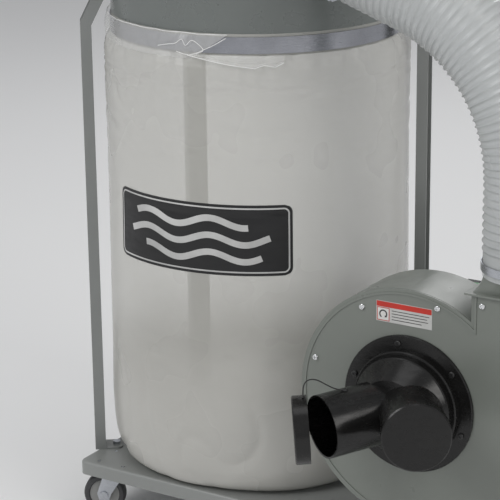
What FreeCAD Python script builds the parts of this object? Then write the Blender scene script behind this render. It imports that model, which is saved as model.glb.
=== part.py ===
"""Mobile single-bag dust collector with a two-port inlet.

Every piece is modelled round the drum's axis, with the floor at z = 0, +X towards the blower, -Y towards
the inlet ports and +Z up.  place_on_origin() then moves the whole machine so that the origin lies on the
floor, in the middle of its footprint box.  Millimetres throughout.
"""
import FreeCAD, Part
import math
import os

Vector = FreeCAD.Vector
UP = Vector(0, 0, 1)
FRONT = Vector(0, -1, 0)
BACK = Vector(0, 1, 0)
RIGHT = Vector(1, 0, 0)

# ---- driving dimensions -------------------------------------------------------------------------------
# base
PLATE_TOP = 103.0            # height of the base plate's upper face
PLATE_THICK = 2.5
BASE_LEFT, BASE_RIGHT = -230.0, 645.0
BASE_HALF_WIDTH = 250.0
LIP_DEPTH = 25.0
LIP_CORNER = 14.0

# casters
CASTER_INSET = (60.0, 42.0)  # from the plate's ends and from its long edges
WHEEL_RADIUS, WHEEL_WIDTH = 37.5, 23.0
CASTER_TRAIL = 28.0
AXLE_RADIUS = 5.0
RUNNING_GAP = 0.05           # radial gap of every running fit
CASTER_HEADINGS = {"front_left": 205.0, "rear_left": 160.0, "front_right": 215.0, "rear_right": 150.0}

# drum and bags
DRUM_RADIUS, SHEET = 250.0, 1.5
DRUM_BOTTOM, DRUM_TOP = 868.0, 1200.0
BAND_HEIGHT, BAND_THICK = 27.0, 1.2
LOWER_BAND_TOP = 899.0
FILM = 1.2                   # bag material where the band squeezes it on the drum
BAG_GAP = 0.3                # free gap round the soft pieces
SOFT_WALL = 2.0
BAG_BULGE = 266.0
BAG_SHOULDER = 262.0
BAG_BOTTOM_ROUND = 36.0
FILTER_BULGE = 257.0
FILTER_TOP = 1930.0

# legs
LEG_RADIUS = 284.0           # inner face of the upright part
LEG_WIDTH, LEG_DEPTH, LEG_WEB = 38.0, 19.0, 3.0
LEG_BEND = 881.0             # height where the leg leans in
LEG_LEAN = 27.0
LEG_LAP = 78.0               # stretch that lies on the drum
LEG_FOOT, LEG_TOE = 30.0, 10.0
FOOT_BOLT_IN = 20.0          # foot bolt, inwards from the upright
LEGS = {"front_left": -143.4, "rear_left": 145.5, "right": 16.0}

# blower
BLOWER_X, BLOWER_Z = 431.0, 345.0
COVER_FACE = -250.0          # front face of the front cover
HOUSING_DEPTH = 112.0
SCROLL_RADIUS, SCROLL_SHIFT, SCROLL_GROWTH = 193.0, 4.0, 14.0
OUTLET_WIDTH, OUTLET_RISE = 125.0, 200.0
DUCT_RADIUS = 63.5           # five inch duct, outside
SCREW_INSET = 18.0
FLANGE_RADIUS, FLANGE_SCREW_RADIUS = 114.0, 101.0

# two-port inlet
PORT_RADIUS, PORT_WALL = 50.8, 3.0
PORT_SPREAD = 32.2           # angle of each port to the blower axis
PORT_ROLL = 7.2              # the left port is this much lower
PORT_LENGTH = 155.0
CAP_GAP, CAP_WALL, CAP_DEPTH = 0.9, 2.2, 24.0
CAP_LAP = {-1: 2.0, 1: 10.0}  # the left cap only hooks over the rim, the right one is pushed home
CAP_STOP = 10.1
CAP_AJAR = 25.0

# motor
MOTOR_FRONT = COVER_FACE + HOUSING_DEPTH
FRAME_RADIUS = 80.0
SHAFT_RADIUS, TAIL_RADIUS = 12.0, 10.0
BRACKET_DROP = 100.0

# hose
STUB_ENTRY = Vector(215.0, -184.0, 1064.0)   # where its axis crosses the drum's wall
STUB_TILT, STUB_LENGTH = 20.0, 90.0
HOSE_WALL, HOSE_BEND = 4.0, 300.0
COLLAR_HEIGHT = 60.0
HOSE_LAP = 40.0

PARTS = {}


# ---- small helpers ------------------------------------------------------------------------------------
def polar(radius, angle, z=0.0):
    a = math.radians(angle)
    return Vector(radius * math.cos(a), radius * math.sin(a), z)


def rod(radius, length, start, direction=UP):
    return Part.makeCylinder(radius, length, start, direction)


def pipe(outer, inner, length, start, direction=UP):
    return rod(outer, length, start, direction).cut(rod(inner, length, start, direction))


def slab(x0, x1, y0, y1, z0, z1):
    return Part.makeBox(x1 - x0, y1 - y0, z1 - z0, Vector(x0, y0, z0))


def fuse(shapes):
    shapes = list(shapes)
    return shapes[0].fuse(shapes[1:]).removeSplitter() if len(shapes) > 1 else shapes[0]


def upright_edges(shape):
    return [e for e in shape.Edges if abs(e.Vertexes[0].Z - e.Vertexes[-1].Z) > 1]


def prism(points, thickness):
    """Straight-sided plate: the closed polygon pushed along the thickness vector."""
    return Part.Face(Part.makePolygon(points + points[:1])).extrude(thickness)


def turned(profile, start, direction):
    """Solid of revolution from (radius, height) corners, its axis running from start along direction."""
    corners = [Vector(radius, 0, height) for radius, height in profile]
    body = Part.Face(Part.makePolygon(corners + corners[:1])).revolve(Vector(0, 0, 0), UP, 360)
    return moved(body, start, direction)


def moved(shape, start, direction=UP):
    placed = shape.copy()
    placed.Placement = FreeCAD.Placement(start, FreeCAD.Rotation(UP, direction)).multiply(shape.Placement)
    return placed


def spun(shape, angle):
    """The shape turned about the drum's axis."""
    turned_shape = shape.copy()
    turned_shape.rotate(Vector(0, 0, 0), UP, angle)
    return turned_shape


def hexagon(across_flats, height, start, direction=UP):
    radius = across_flats / math.sqrt(3)
    body = prism([polar(radius, 60 * i) for i in range(6)], UP * height)
    return moved(body, start, direction)


def hex_bolt(seat, direction, radius, grip):
    """Bolt with its head on seat, its shank along direction and its nut one grip further on."""
    head = hexagon(3.2 * radius, 1.3 * radius, seat, direction * -1)
    shank = rod(radius, grip + 2.2 * radius, seat, direction)
    nut = hexagon(3.2 * radius, 1.6 * radius, seat + direction * grip, direction)
    return fuse([head, shank, nut])


def pan_screw(seat, direction, radius, length):
    """Pan-head screw with a cross recess; the shank runs along direction."""
    head_radius, height = 2.0 * radius, 1.25 * radius
    head = rod(head_radius, height, seat, direction * -1)
    crown = [e for e in head.Edges if e.CenterOfMass.distanceToPoint(seat) > 0.9 * height]
    head = head.makeFillet(0.55 * height, crown)
    long, wide = 1.2 * head_radius, 0.3 * head_radius
    slot = slab(-long / 2, long / 2, -wide / 2, wide / 2, 0.5 * height, 1.5 * height)
    cross = slot.fuse(slot.rotated(Vector(0, 0, 0), UP, 90))
    head = head.cut(moved(cross, seat, direction * -1))
    return head.fuse(rod(radius, length, seat, direction)).removeSplitter()


def group(solids):
    return Part.makeCompound(list(solids))


def rounded_path(points, radius=None):
    """Straight runs joined by tangent arcs; without a radius each arc is as large as its two runs allow."""
    edges, last = [], points[0]
    for before, corner, after in zip(points, points[1:], points[2:]):
        back, ahead = (before - corner), (after - corner)
        shorter = min(back.Length, ahead.Length)
        back, ahead = back / back.Length, ahead / ahead.Length
        turn = math.pi - back.getAngle(ahead)
        bend = radius or 0.45 * shorter / math.tan(turn / 2)
        reach = bend * math.tan(turn / 2)
        enter, leave = corner + back * reach, corner + ahead * reach
        bisector = back + ahead
        middle = corner + bisector / bisector.Length * (bend / math.cos(turn / 2) - bend)
        edges += [Part.LineSegment(last, enter).toShape(), Part.Arc(enter, middle, leave).toShape()]
        last = leave
    edges.append(Part.LineSegment(last, points[-1]).toShape())
    return Part.Wire(edges)


def swept_round(path, radius, start, direction):
    circle = Part.Wire(Part.makeCircle(radius, start, direction))
    return path.makePipeShell([circle], True, False)


# ---- base and casters ---------------------------------------------------------------------------------
def caster_places():
    left, right = BASE_LEFT + CASTER_INSET[0], BASE_RIGHT - CASTER_INSET[0]
    side = BASE_HALF_WIDTH - CASTER_INSET[1]
    return {"front_left": Vector(left, -side, 0), "rear_left": Vector(left, side, 0),
            "front_right": Vector(right, -side, 0), "rear_right": Vector(right, side, 0)}


CASTER_PLATE_HALF, CASTER_PLATE_THICK, CASTER_PLATE_CORNER, CASTER_BOLT_OFFSET = 34.0, 2.5, 6.0, 26.0
FORK_TOP, FORK_SHEET, FORK_DISC = 96.5, 3.0, 24.0
KING_PIN = 6.0
M6, M8 = 3.0, 4.0
HOLE_GAP = 0.4
NUT_CLEAR = 0.2              # a flat nut inside the round drum stands this far off its wall
PLATE_UNDERSIDE = PLATE_TOP - PLATE_THICK


def leg_foot_bolt_places():
    return [polar(LEG_RADIUS - FOOT_BOLT_IN, angle) for angle in LEGS.values()]


def caster_bolt_places():
    corners = [Vector(i * CASTER_BOLT_OFFSET, j * CASTER_BOLT_OFFSET, 0) for i in (-1, 1) for j in (-1, 1)]
    return [place + corner for place in caster_places().values() for corner in corners]


def base_plate():
    outer = slab(BASE_LEFT, BASE_RIGHT, -BASE_HALF_WIDTH, BASE_HALF_WIDTH, PLATE_TOP - LIP_DEPTH, PLATE_TOP)
    outer = outer.makeFillet(LIP_CORNER, upright_edges(outer))
    rim = [e for e in outer.Edges if e.BoundBox.ZMin > PLATE_TOP - 0.1]
    outer = outer.makeFillet(2 * PLATE_THICK, rim)
    t = PLATE_THICK
    hollow = slab(BASE_LEFT + t, BASE_RIGHT - t, -BASE_HALF_WIDTH + t, BASE_HALF_WIDTH - t,
                  PLATE_TOP - LIP_DEPTH - 1, PLATE_UNDERSIDE)
    hollow = hollow.makeFillet(LIP_CORNER - t, upright_edges(hollow))
    plate = outer.cut(hollow)
    below = UP * (PLATE_TOP - 3 * t)
    feet = leg_foot_bolt_places() + bracket_foot_places()
    drill = [rod(M8 + HOLE_GAP, 4 * t, p + below) for p in feet]
    drill += [rod(M6 + HOLE_GAP, 4 * t, p + below) for p in caster_bolt_places()]
    PARTS["base_plate"] = plate.cut(drill)


def caster_plates():
    """Top plates with their ball race and king pin; the king pin's head holds the fork up."""
    shapes = []
    underside = PLATE_UNDERSIDE - CASTER_PLATE_THICK
    for place in caster_places().values():
        half = CASTER_PLATE_HALF
        plate = slab(-half, half, -half, half, underside, PLATE_UNDERSIDE).translate(place)
        plate = plate.makeFillet(CASTER_PLATE_CORNER, upright_edges(plate))
        holes = [rod(M6 + HOLE_GAP, 10, p + UP * (underside - 4)) for p in caster_bolt_places()]
        race = pipe(19, 12, underside - FORK_TOP - RUNNING_GAP, place + UP * (FORK_TOP + RUNNING_GAP))
        pin_foot = FORK_TOP - FORK_SHEET - 5
        pin = rod(KING_PIN, underside - pin_foot, place + UP * pin_foot)
        head = rod(10, 5 - 2 * RUNNING_GAP, place + UP * (pin_foot - RUNNING_GAP))
        shapes.append(fuse([plate.cut(holes), race, pin, head]))
    PARTS["caster_plates"] = group(shapes)
    heads = [p + UP * underside for p in caster_bolt_places()]
    PARTS["caster_bolts"] = group(
        fuse([hexagon(10, 4, p, UP * -1), rod(M6, PLATE_TOP - underside, p)]) for p in heads)


def caster(name, place, heading):
    """Fork with its riveted axle, and the wheel, trailing along heading."""
    trail = CASTER_TRAIL
    gap = WHEEL_WIDTH / 2 + 2
    crown = rod(FORK_DISC + 3, FORK_SHEET, Vector(0, 0, FORK_TOP - FORK_SHEET))
    crown = crown.cut(rod(KING_PIN + RUNNING_GAP, 10, Vector(0, 0, FORK_TOP - 6)))
    crown = crown.common(slab(-40, 40, -gap - FORK_SHEET, gap + FORK_SHEET, 0, FORK_TOP))
    cheek_side = [Vector(-22, gap, FORK_TOP), Vector(22, gap, FORK_TOP), Vector(26, gap, FORK_TOP - 14),
                  Vector(trail + 12, gap, WHEEL_RADIUS + 4), Vector(trail + 9, gap, WHEEL_RADIUS - 9),
                  Vector(trail - 9, gap, WHEEL_RADIUS - 9), Vector(trail - 14, gap, WHEEL_RADIUS + 4)]
    cheek = prism(cheek_side, Vector(0, FORK_SHEET, 0))
    far_cheek = cheek.mirror(Vector(0, 0, 0), Vector(0, 1, 0))
    axle = rod(AXLE_RADIUS, 2 * (gap + FORK_SHEET), Vector(trail, -gap - FORK_SHEET, WHEEL_RADIUS), BACK)
    heads = [rod(8, 3, Vector(trail, s * (gap + FORK_SHEET), WHEEL_RADIUS), Vector(0, s, 0)) for s in (-1, 1)]
    fork = fuse([crown, cheek, far_cheek, axle] + heads)

    half, r = WHEEL_WIDTH / 2, WHEEL_RADIUS
    profile = [(AXLE_RADIUS + RUNNING_GAP, -half - 1), (13, -half - 1), (13, -half + 3), (r - 11, -half + 3),
               (r - 9, -half), (r - 3, -half), (r, -half + 5), (r, half - 5), (r - 3, half), (r - 9, half),
               (r - 11, half - 3), (13, half - 3), (13, half + 1), (AXLE_RADIUS + RUNNING_GAP, half + 1)]
    wheel = turned(profile, Vector(trail, 0, r), BACK)
    for node, shape in (("caster_fork_" + name, fork), ("caster_wheel_" + name, wheel)):
        shape.rotate(Vector(0, 0, 0), UP, heading)
        shape.translate(place)
        PARTS[node] = shape


# ---- legs ---------------------------------------------------------------------------------------------
def offset_line(points, distance):
    """The open (radius, height) line moved sideways, outward from the drum, with mitred corners."""
    result, normals = [], []
    for (r0, z0), (r1, z1) in zip(points, points[1:]):
        length = math.hypot(r1 - r0, z1 - z0)
        normals.append(((z1 - z0) / length, -(r1 - r0) / length))
    for i, (r, z) in enumerate(points):
        n0, n1 = normals[max(i - 1, 0)], normals[min(i, len(normals) - 1)]
        share = 1 + n0[0] * n1[0] + n0[1] * n1[1]
        result.append((r + distance * (n0[0] + n1[0]) / share, z + distance * (n0[1] + n1[1]) / share))
    return result


def leg_line():
    rise = (LEG_RADIUS - DRUM_RADIUS) / math.tan(math.radians(LEG_LEAN))
    return [(LEG_RADIUS, PLATE_TOP), (LEG_RADIUS, LEG_BEND), (DRUM_RADIUS, LEG_BEND + rise),
            (DRUM_RADIUS, LEG_BEND + rise + LEG_LAP)]


def leg_strip(inner, outer, width):
    line = offset_line(leg_line(), inner) + offset_line(leg_line(), outer)[::-1]
    return prism([Vector(r, -width / 2, z) for r, z in line], Vector(0, width, 0))


def leg(angle):
    """Channel with its web towards the drum, a flat foot turned in at the bottom."""
    body = leg_strip(0, LEG_DEPTH, LEG_WIDTH).cut(leg_strip(LEG_WEB, 2 * LEG_DEPTH, LEG_WIDTH - 2 * LEG_WEB))
    half = LEG_WIDTH / 2
    foot = slab(LEG_RADIUS - LEG_FOOT, LEG_RADIUS + LEG_WEB, -half, half, PLATE_TOP, PLATE_TOP + LEG_WEB)
    foot = foot.makeFillet(LEG_TOE, [e for e in upright_edges(foot) if e.CenterOfMass.x < LEG_RADIUS])
    body = fuse([body, foot])
    holes = [rod(M8 + HOLE_GAP, 12, Vector(DRUM_RADIUS - 6, 0, z), RIGHT) for z in leg_bolt_heights()]
    holes.append(rod(M8 + HOLE_GAP, 10, Vector(LEG_RADIUS - FOOT_BOLT_IN, 0, PLATE_TOP - 3)))
    return spun(body.cut(holes), angle)


def leg_bolt_heights():
    top = leg_line()[-1][1]
    return [top - 16, top - 54]


def legs():
    for name, angle in LEGS.items():
        PARTS["leg_" + name] = leg(angle)
    PARTS["leg_foot_bolts"] = group(
        hex_bolt(p + UP * (PLATE_TOP + LEG_WEB), Vector(0, 0, -1), M8, LEG_WEB + PLATE_THICK)
        for p in leg_foot_bolt_places())
    grip = LEG_WEB + SHEET + NUT_CLEAR
    PARTS["leg_top_bolts"] = group(
        spun(hex_bolt(Vector(DRUM_RADIUS + LEG_WEB, 0, z), RIGHT * -1, M8, grip), angle)
        for angle in LEGS.values() for z in leg_bolt_heights())


# ---- drum, bands and bags -----------------------------------------------------------------------------
def hose_corner():
    """Where the drum stub's axis meets the blower outlet's axis."""
    fall = (duct_x() - STUB_ENTRY.x) * math.tan(math.radians(STUB_TILT))
    return Vector(duct_x(), duct_y(), STUB_ENTRY.z - fall)


def stub_direction():
    return (hose_corner() - STUB_ENTRY).normalize()


def stub_end():
    return STUB_ENTRY + stub_direction() * STUB_LENGTH


def drum():
    hem = 4.0
    r = DRUM_RADIUS
    inner, rolled = r - SHEET, r - 2.5 * SHEET
    profile = [(rolled, DRUM_BOTTOM), (r, DRUM_BOTTOM), (r, DRUM_TOP), (rolled, DRUM_TOP),
               (rolled, DRUM_TOP - hem), (inner, DRUM_TOP - hem), (inner, DRUM_BOTTOM + hem),
               (rolled, DRUM_BOTTOM + hem)]
    shell = turned(profile, Vector(0, 0, 0), UP)
    start = STUB_ENTRY - stub_direction() * 165
    cuts = [rod(DUCT_RADIUS - SHEET, 300, start, stub_direction())]
    cuts += [spun(rod(M8 + HOLE_GAP, 12, Vector(r - 6, 0, z), RIGHT), a)
             for a in LEGS.values() for z in leg_bolt_heights()]
    cuts += [spun(rod(M6 + HOLE_GAP, 12, Vector(r - 6, 0, z), RIGHT), HANGER_ANGLE) for z in HANGER_CLAMPS]
    PARTS["drum"] = shell.cut(cuts)

    inside = rod(r, 400, Vector(0, 0, DRUM_BOTTOM - 20))
    length = (stub_end() - start).Length
    stub = pipe(DUCT_RADIUS, DUCT_RADIUS - SHEET, length, start, stub_direction())
    PARTS["drum_inlet_stub"] = max(stub.cut(inside).Solids, key=lambda s: s.BoundBox.XMax)

    low, high, eye = DRUM_BOTTOM + 10, DRUM_BOTTOM + 66, 150.0
    cone = [(inner, low), (inner, low + 18), (inner - SHEET, low + 18), (inner - SHEET, low + 4),
            (eye, high), (eye, high - 4)]
    PARTS["drum_cone"] = turned(cone, Vector(0, 0, 0), UP)


LATCH_AT = 75.0              # the latches sit at the back of the drum
LATCH_Z_HALF = 10.0
LATCH_PIN_OUT = 8.0          # pivot pin's distance outside the band
LATCH_PIN_RADIUS = 2.5
LATCH_PIN_ANGLE = 7.0
LEVER_SWEEP = 15.0
BAND_CUT = 3.0


def band(name, top, angle):
    """Split strap with two pin ears, and the over-centre lever that turns on the pin."""
    inner = DRUM_RADIUS + FILM
    outer = inner + BAND_THICK
    middle = top - BAND_HEIGHT / 2
    strap = pipe(outer, inner, BAND_HEIGHT, Vector(0, 0, top - BAND_HEIGHT))
    wedge = [Vector(0, 0, top - BAND_HEIGHT - 1), polar(2 * inner, -BAND_CUT, top - BAND_HEIGHT - 1),
             polar(2 * inner, BAND_CUT, top - BAND_HEIGHT - 1)]
    strap = strap.cut(prism(wedge, UP * (BAND_HEIGHT + 2)))
    pin = polar(outer + LATCH_PIN_OUT, LATCH_PIN_ANGLE, middle)
    root = inner + BAND_THICK / 3
    ears = []
    for side in (-1, 1):
        low = middle + side * (LATCH_Z_HALF + 2) - 1
        cheek = [polar(root, LATCH_PIN_ANGLE - 2.2, low), polar(outer + 12, LATCH_PIN_ANGLE - 1.2, low),
                 polar(outer + 12, LATCH_PIN_ANGLE + 1.2, low), polar(root, LATCH_PIN_ANGLE + 2.2, low)]
        hole = rod(LATCH_PIN_RADIUS + RUNNING_GAP, 10, Vector(pin.x, pin.y, low - 4))
        ears.append(prism(cheek, UP * 2).cut(hole))
    catch_angle = -BAND_CUT - 2
    catch_low = middle - LATCH_Z_HALF + 2
    catch = [polar(root, catch_angle, catch_low), polar(outer + 5, catch_angle, catch_low),
             polar(outer + 5, catch_angle - 0.7, catch_low), polar(root, catch_angle - 0.7, catch_low)]
    catch = prism(catch, UP * (2 * LATCH_Z_HALF - 4))
    strap = fuse([strap] + ears + [catch])

    half = LATCH_Z_HALF
    blade_in, blade_out = outer + LATCH_PIN_OUT - 1.5, outer + LATCH_PIN_OUT + 0.5
    blade = pipe(blade_out, blade_in, 2 * half, Vector(0, 0, middle - half))
    reach = [Vector(0, 0, middle - half), polar(2 * outer, LATCH_PIN_ANGLE - LEVER_SWEEP, middle - half),
             polar(2 * outer, LATCH_PIN_ANGLE, middle - half)]
    blade = blade.common(prism(reach, UP * 2 * half))
    barrel = rod(5, 2 * half, Vector(pin.x, pin.y, middle - half))
    pivot = rod(LATCH_PIN_RADIUS, 2 * half + 8, Vector(pin.x, pin.y, middle - half - 4))
    lever = fuse([blade, barrel, pivot])
    PARTS[name] = spun(strap, angle)
    PARTS[name + "_lever"] = spun(lever, angle)


def collection_bag():
    """Hangs from the drum's lower edge, bulges under its load and rests on the base plate.

    Its sealed air space leaves only the skin to weigh anything.
    """
    neck_in, neck_out = DRUM_RADIUS + BAG_GAP / 3, DRUM_RADIUS + FILM
    floor, rnd = PLATE_TOP + BAG_GAP, BAG_BOTTOM_ROUND
    top = DRUM_BOTTOM - BAG_GAP
    side = [Vector(neck_out, 0, LOWER_BAND_TOP - BAND_HEIGHT), Vector(BAG_SHOULDER, 0, top - 20),
            Vector(BAG_SHOULDER, 0, top - 300), Vector(BAG_BULGE, 0, floor + 110)]
    knee, toe = Vector(BAG_BULGE, 0, floor + rnd), Vector(BAG_BULGE - rnd, 0, floor)
    curve = Part.Arc(knee, Vector(BAG_BULGE - 0.293 * rnd, 0, floor + 0.293 * rnd), toe).toShape()
    corners = [toe, Vector(0, 0, floor), Vector(0, 0, top), Vector(neck_in, 0, top),
               Vector(neck_in, 0, LOWER_BAND_TOP), Vector(neck_out, 0, LOWER_BAND_TOP)] + side + [knee]
    edges = [curve] + [Part.LineSegment(a, b).toShape() for a, b in zip(corners, corners[1:])]
    outer = Part.Face(Part.Wire(edges)).revolve(Vector(0, 0, 0), UP, 360)
    wall = SOFT_WALL
    space = turned([(0, floor + wall), (BAG_BULGE - rnd, floor + wall), (BAG_BULGE - wall - 6, floor + rnd),
                    (BAG_BULGE - wall - 6, floor + 110), (neck_in - wall, 800), (neck_in - wall, top - wall),
                    (0, top - wall)], Vector(0, 0, 0), UP)
    PARTS["collection_bag"] = outer.cut(space)


def filter_bag():
    """Cloth filter: clamped round the drum's top, hung from its loop by the hanger rod."""
    neck_in, neck_out = DRUM_RADIUS + BAG_GAP / 3, DRUM_RADIUS + FILM
    low, seat = DRUM_TOP - BAND_HEIGHT, DRUM_TOP + BAG_GAP
    crown = 60.0
    profile = [(0, seat), (neck_in, seat), (neck_in, low), (neck_out, low), (neck_out, DRUM_TOP),
               (FILTER_BULGE - 2, DRUM_TOP + 40), (FILTER_BULGE, DRUM_TOP + 150),
               (FILTER_BULGE, FILTER_TOP - 130), (FILTER_BULGE - 8, FILTER_TOP - crown),
               (FILTER_BULGE - 40, FILTER_TOP - 18), (120, FILTER_TOP), (0, FILTER_TOP)]
    w = SOFT_WALL
    space = [(0, seat + w), (neck_in - w, seat + w), (FILTER_BULGE - 3 * w, DRUM_TOP + 150),
             (FILTER_BULGE - 3 * w, FILTER_TOP - 130), (FILTER_BULGE - 46, FILTER_TOP - 20 - w),
             (0, FILTER_TOP - 20 - w)]
    body = turned(profile, Vector(0, 0, 0), UP).cut(turned(space, Vector(0, 0, 0), UP))
    loop_high, loop_wide = 34.0, 15.0
    loop = slab(-loop_wide, loop_wide, -6, 6, FILTER_TOP - 1, FILTER_TOP + loop_high)
    eye = slab(-loop_wide + 3, loop_wide - 3, -8, 8, FILTER_TOP + 0.1, FILTER_TOP + loop_high - 3)
    loop = loop.cut(eye)
    PARTS["filter_bag"] = fuse([body, loop])


HANGER_ANGLE = 100.0
HANGER_RADIUS, HANGER_ROD = 281.0, 6.0
HANGER_FOOT, HANGER_TOP = 960.0, 1990.0
HANGER_CLAMPS = (985.0, 1110.0)


def hanger():
    """Rod on the drum's back, bent over the filter bag, its end turned down through the bag's loop."""
    hook = FILTER_TOP + 22
    foot, drop = Vector(HANGER_RADIUS, 0, HANGER_FOOT), Vector(-20, 0, HANGER_TOP)
    over = [foot, Vector(HANGER_RADIUS, 0, HANGER_TOP), Vector(-24, 0, HANGER_TOP)]
    down = [drop, Vector(drop.x, 0, hook), Vector(16, 0, hook)]
    bar = swept_round(rounded_path(over, 60.0), HANGER_ROD, foot, UP)
    end = swept_round(rounded_path(down, 12.0), HANGER_ROD * 0.75, drop, UP * -1)
    PARTS["hanger_rod"] = spun(fuse([bar, end]), HANGER_ANGLE)

    shapes = []
    face = HANGER_RADIUS + 2 * HANGER_ROD
    for z in HANGER_CLAMPS:
        held = rod(HANGER_ROD, 40, Vector(HANGER_RADIUS, 0, z - 20))
        block = slab(DRUM_RADIUS + 0.3, face, -13, 13, z - 11, z + 11)
        block = block.cut([held, rod(DRUM_RADIUS, 60, Vector(0, 0, z - 30))])
        screw = hex_bolt(Vector(face, 0, z), RIGHT * -1, M6, face - DRUM_RADIUS + SHEET + NUT_CLEAR)
        shapes.append(spun(fuse([block, screw.cut(held)]), HANGER_ANGLE))
    PARTS["hanger_clamps"] = group(shapes)


# ---- blower -------------------------------------------------------------------------------------------
def blower_point(x, z, y):
    """Point given from the blower's axis: x to the right, z up, y absolute."""
    return Vector(BLOWER_X + x, y, BLOWER_Z + z)


def scroll_centre(quarter):
    """Centres of the scroll's arcs; the radius grows by one step with each quarter after the first."""
    shift, step = -SCROLL_SHIFT, SCROLL_GROWTH
    return [(shift, shift, SCROLL_RADIUS), (shift + step, shift, SCROLL_RADIUS + step),
            (shift + step, shift + step, SCROLL_RADIUS + 2 * step)][quarter]


def scroll_arc_point(quarter, angle, inset, y):
    """Point on one of the scroll's arcs, angle counted anticlockwise from +X as seen from the front."""
    cx, cz, radius = scroll_centre(quarter)
    a = math.radians(angle)
    return blower_point(cx + (radius - inset) * math.cos(a), cz + (radius - inset) * math.sin(a), y)


def scroll_point(angle, inset, y):
    quarter = 0 if angle <= 180 else 1 if angle <= 270 else 2
    return scroll_arc_point(quarter, angle, inset, y)


def outlet_right():
    cx, _, radius = scroll_centre(2)
    return cx + radius


def scroll_face(inset, y, top=OUTLET_RISE):
    """Scroll outline with its upward outlet at the right, every wall moved in by inset."""
    cx, _, radius = scroll_centre(0)
    left, right = outlet_right() - OUTLET_WIDTH + inset, outlet_right() - inset
    start = math.degrees(math.acos((left - cx) / (radius - inset)))
    stops = [start, 90, 180, 270, 360]
    edges = []
    for a, b in zip(stops, stops[1:]):
        quarter = max(0, int(a // 90) - 1)
        first, middle, last = [scroll_arc_point(quarter, x, inset, y) for x in (a, (a + b) / 2, b)]
        edges.append(Part.Arc(first, middle, last).toShape())
    corner = scroll_arc_point(0, start, inset, y)
    chain = [last, blower_point(right, top, y), blower_point(left, top, y), corner]
    edges += [Part.LineSegment(a, b).toShape() for a, b in zip(chain, chain[1:])]
    return Part.Face(Part.Wire(edges))


HOUSING_SHEET, GASKET, LIP_IN = 2.0, 1.5, 27.0
BEAD_OUT, BEAD_IN, BEAD_HIGH = 5.5, 9.0, 1.5   # pressed rib that follows the cover's edge
COVER_BACK = COVER_FACE + HOUSING_SHEET
HOUSING_FRONT = COVER_BACK + GASKET
HOUSING_BACK = COVER_FACE + HOUSING_DEPTH
INLET_HOLE = 80.0
COVER_SCREWS = {73: 14.0, 118: 21.0, 163: 19.0, 208: 18.0, 253: 18.0, 298: 18.0, 343: 18.0}   # angle: inset
FLANGE_THICK = 5.0
LABEL_CENTRE, LABEL_SIZE, LABEL_THICK = (-10.0, 147.0), (98.0, 34.0), 0.6
M5, M5_LENGTH = 2.5, 14.0


def cover_screw_places():
    places = [scroll_point(angle, inset, COVER_FACE) for angle, inset in COVER_SCREWS.items()]
    right, left = outlet_right() - SCREW_INSET, outlet_right() - OUTLET_WIDTH + SCREW_INSET
    return places + [blower_point(right, 62, COVER_FACE), blower_point(right, 180, COVER_FACE),
                     blower_point(left, 184, COVER_FACE)]


def flange_screw_places(y):
    return [around_axis(FLANGE_SCREW_RADIUS, angle, y) for angle in range(40, 400, 60)]


def blower():
    t = HOUSING_SHEET
    depth = HOUSING_BACK - HOUSING_FRONT
    shell = scroll_face(0, HOUSING_FRONT).extrude(BACK * depth)
    cavity = scroll_face(t, HOUSING_FRONT + t, OUTLET_RISE + 5).extrude(BACK * (depth - 2 * t))
    mouth = scroll_face(LIP_IN, HOUSING_FRONT - 1).extrude(BACK * (t + 2))
    drill = [rod(M5 + HOLE_GAP, 20, p - BACK * 5, BACK) for p in cover_screw_places()]
    motor_hole = rod(SHAFT_RADIUS + 6, 20, Vector(BLOWER_X, HOUSING_BACK - 10, BLOWER_Z), BACK)
    back_drill = [rod(M6 + HOLE_GAP, 20, p - BACK * 10, BACK) for p in housing_bolt_places()]
    PARTS["blower_housing"] = shell.cut([cavity, mouth, motor_hole] + drill + back_drill)

    cover = scroll_face(0, COVER_FACE).extrude(BACK * t)
    bead = scroll_face(BEAD_OUT, COVER_FACE - BEAD_HIGH).extrude(BACK * 2)
    bead = bead.cut(scroll_face(BEAD_IN, COVER_FACE - 2).extrude(BACK * 4))
    cover = fuse([cover, bead])
    inlet = rod(INLET_HOLE, 20, Vector(BLOWER_X, COVER_FACE - 10, BLOWER_Z), BACK)
    flange_drill = [rod(M5 + HOLE_GAP, 20, p - BACK * 10, BACK) for p in flange_screw_places(COVER_FACE)]
    PARTS["blower_cover"] = cover.cut([inlet] + drill + flange_drill)
    seal = scroll_face(1, COVER_BACK).extrude(BACK * GASKET)
    seal = seal.cut(scroll_face(LIP_IN, COVER_BACK - 1).extrude(BACK * 4))
    PARTS["cover_gasket"] = seal.cut(drill)
    PARTS["cover_screws"] = group(pan_screw(p, BACK, M5, M5_LENGTH) for p in cover_screw_places())
    heads = flange_screw_places(COVER_FACE - FLANGE_THICK)
    PARTS["flange_screws"] = group(pan_screw(p, BACK, M5, M5_LENGTH) for p in heads)

    x, z = BLOWER_X + LABEL_CENTRE[0], BLOWER_Z + LABEL_CENTRE[1]
    half_x, half_z = LABEL_SIZE[0] / 2, LABEL_SIZE[1] / 2
    front = COVER_FACE - LABEL_THICK
    PARTS["label_plate"] = slab(x - half_x, x + half_x, front, COVER_FACE, z - half_z, z + half_z)


IMPELLER_RADIUS = 150.0
IMPELLER_BACK = HOUSING_BACK - 12
BLADES, BLADE_DEPTH, BLADE_RAKE = 8, 78.0, 28.0
HUB_RADIUS, HUB_LENGTH = 28.0, 48.0


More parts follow.
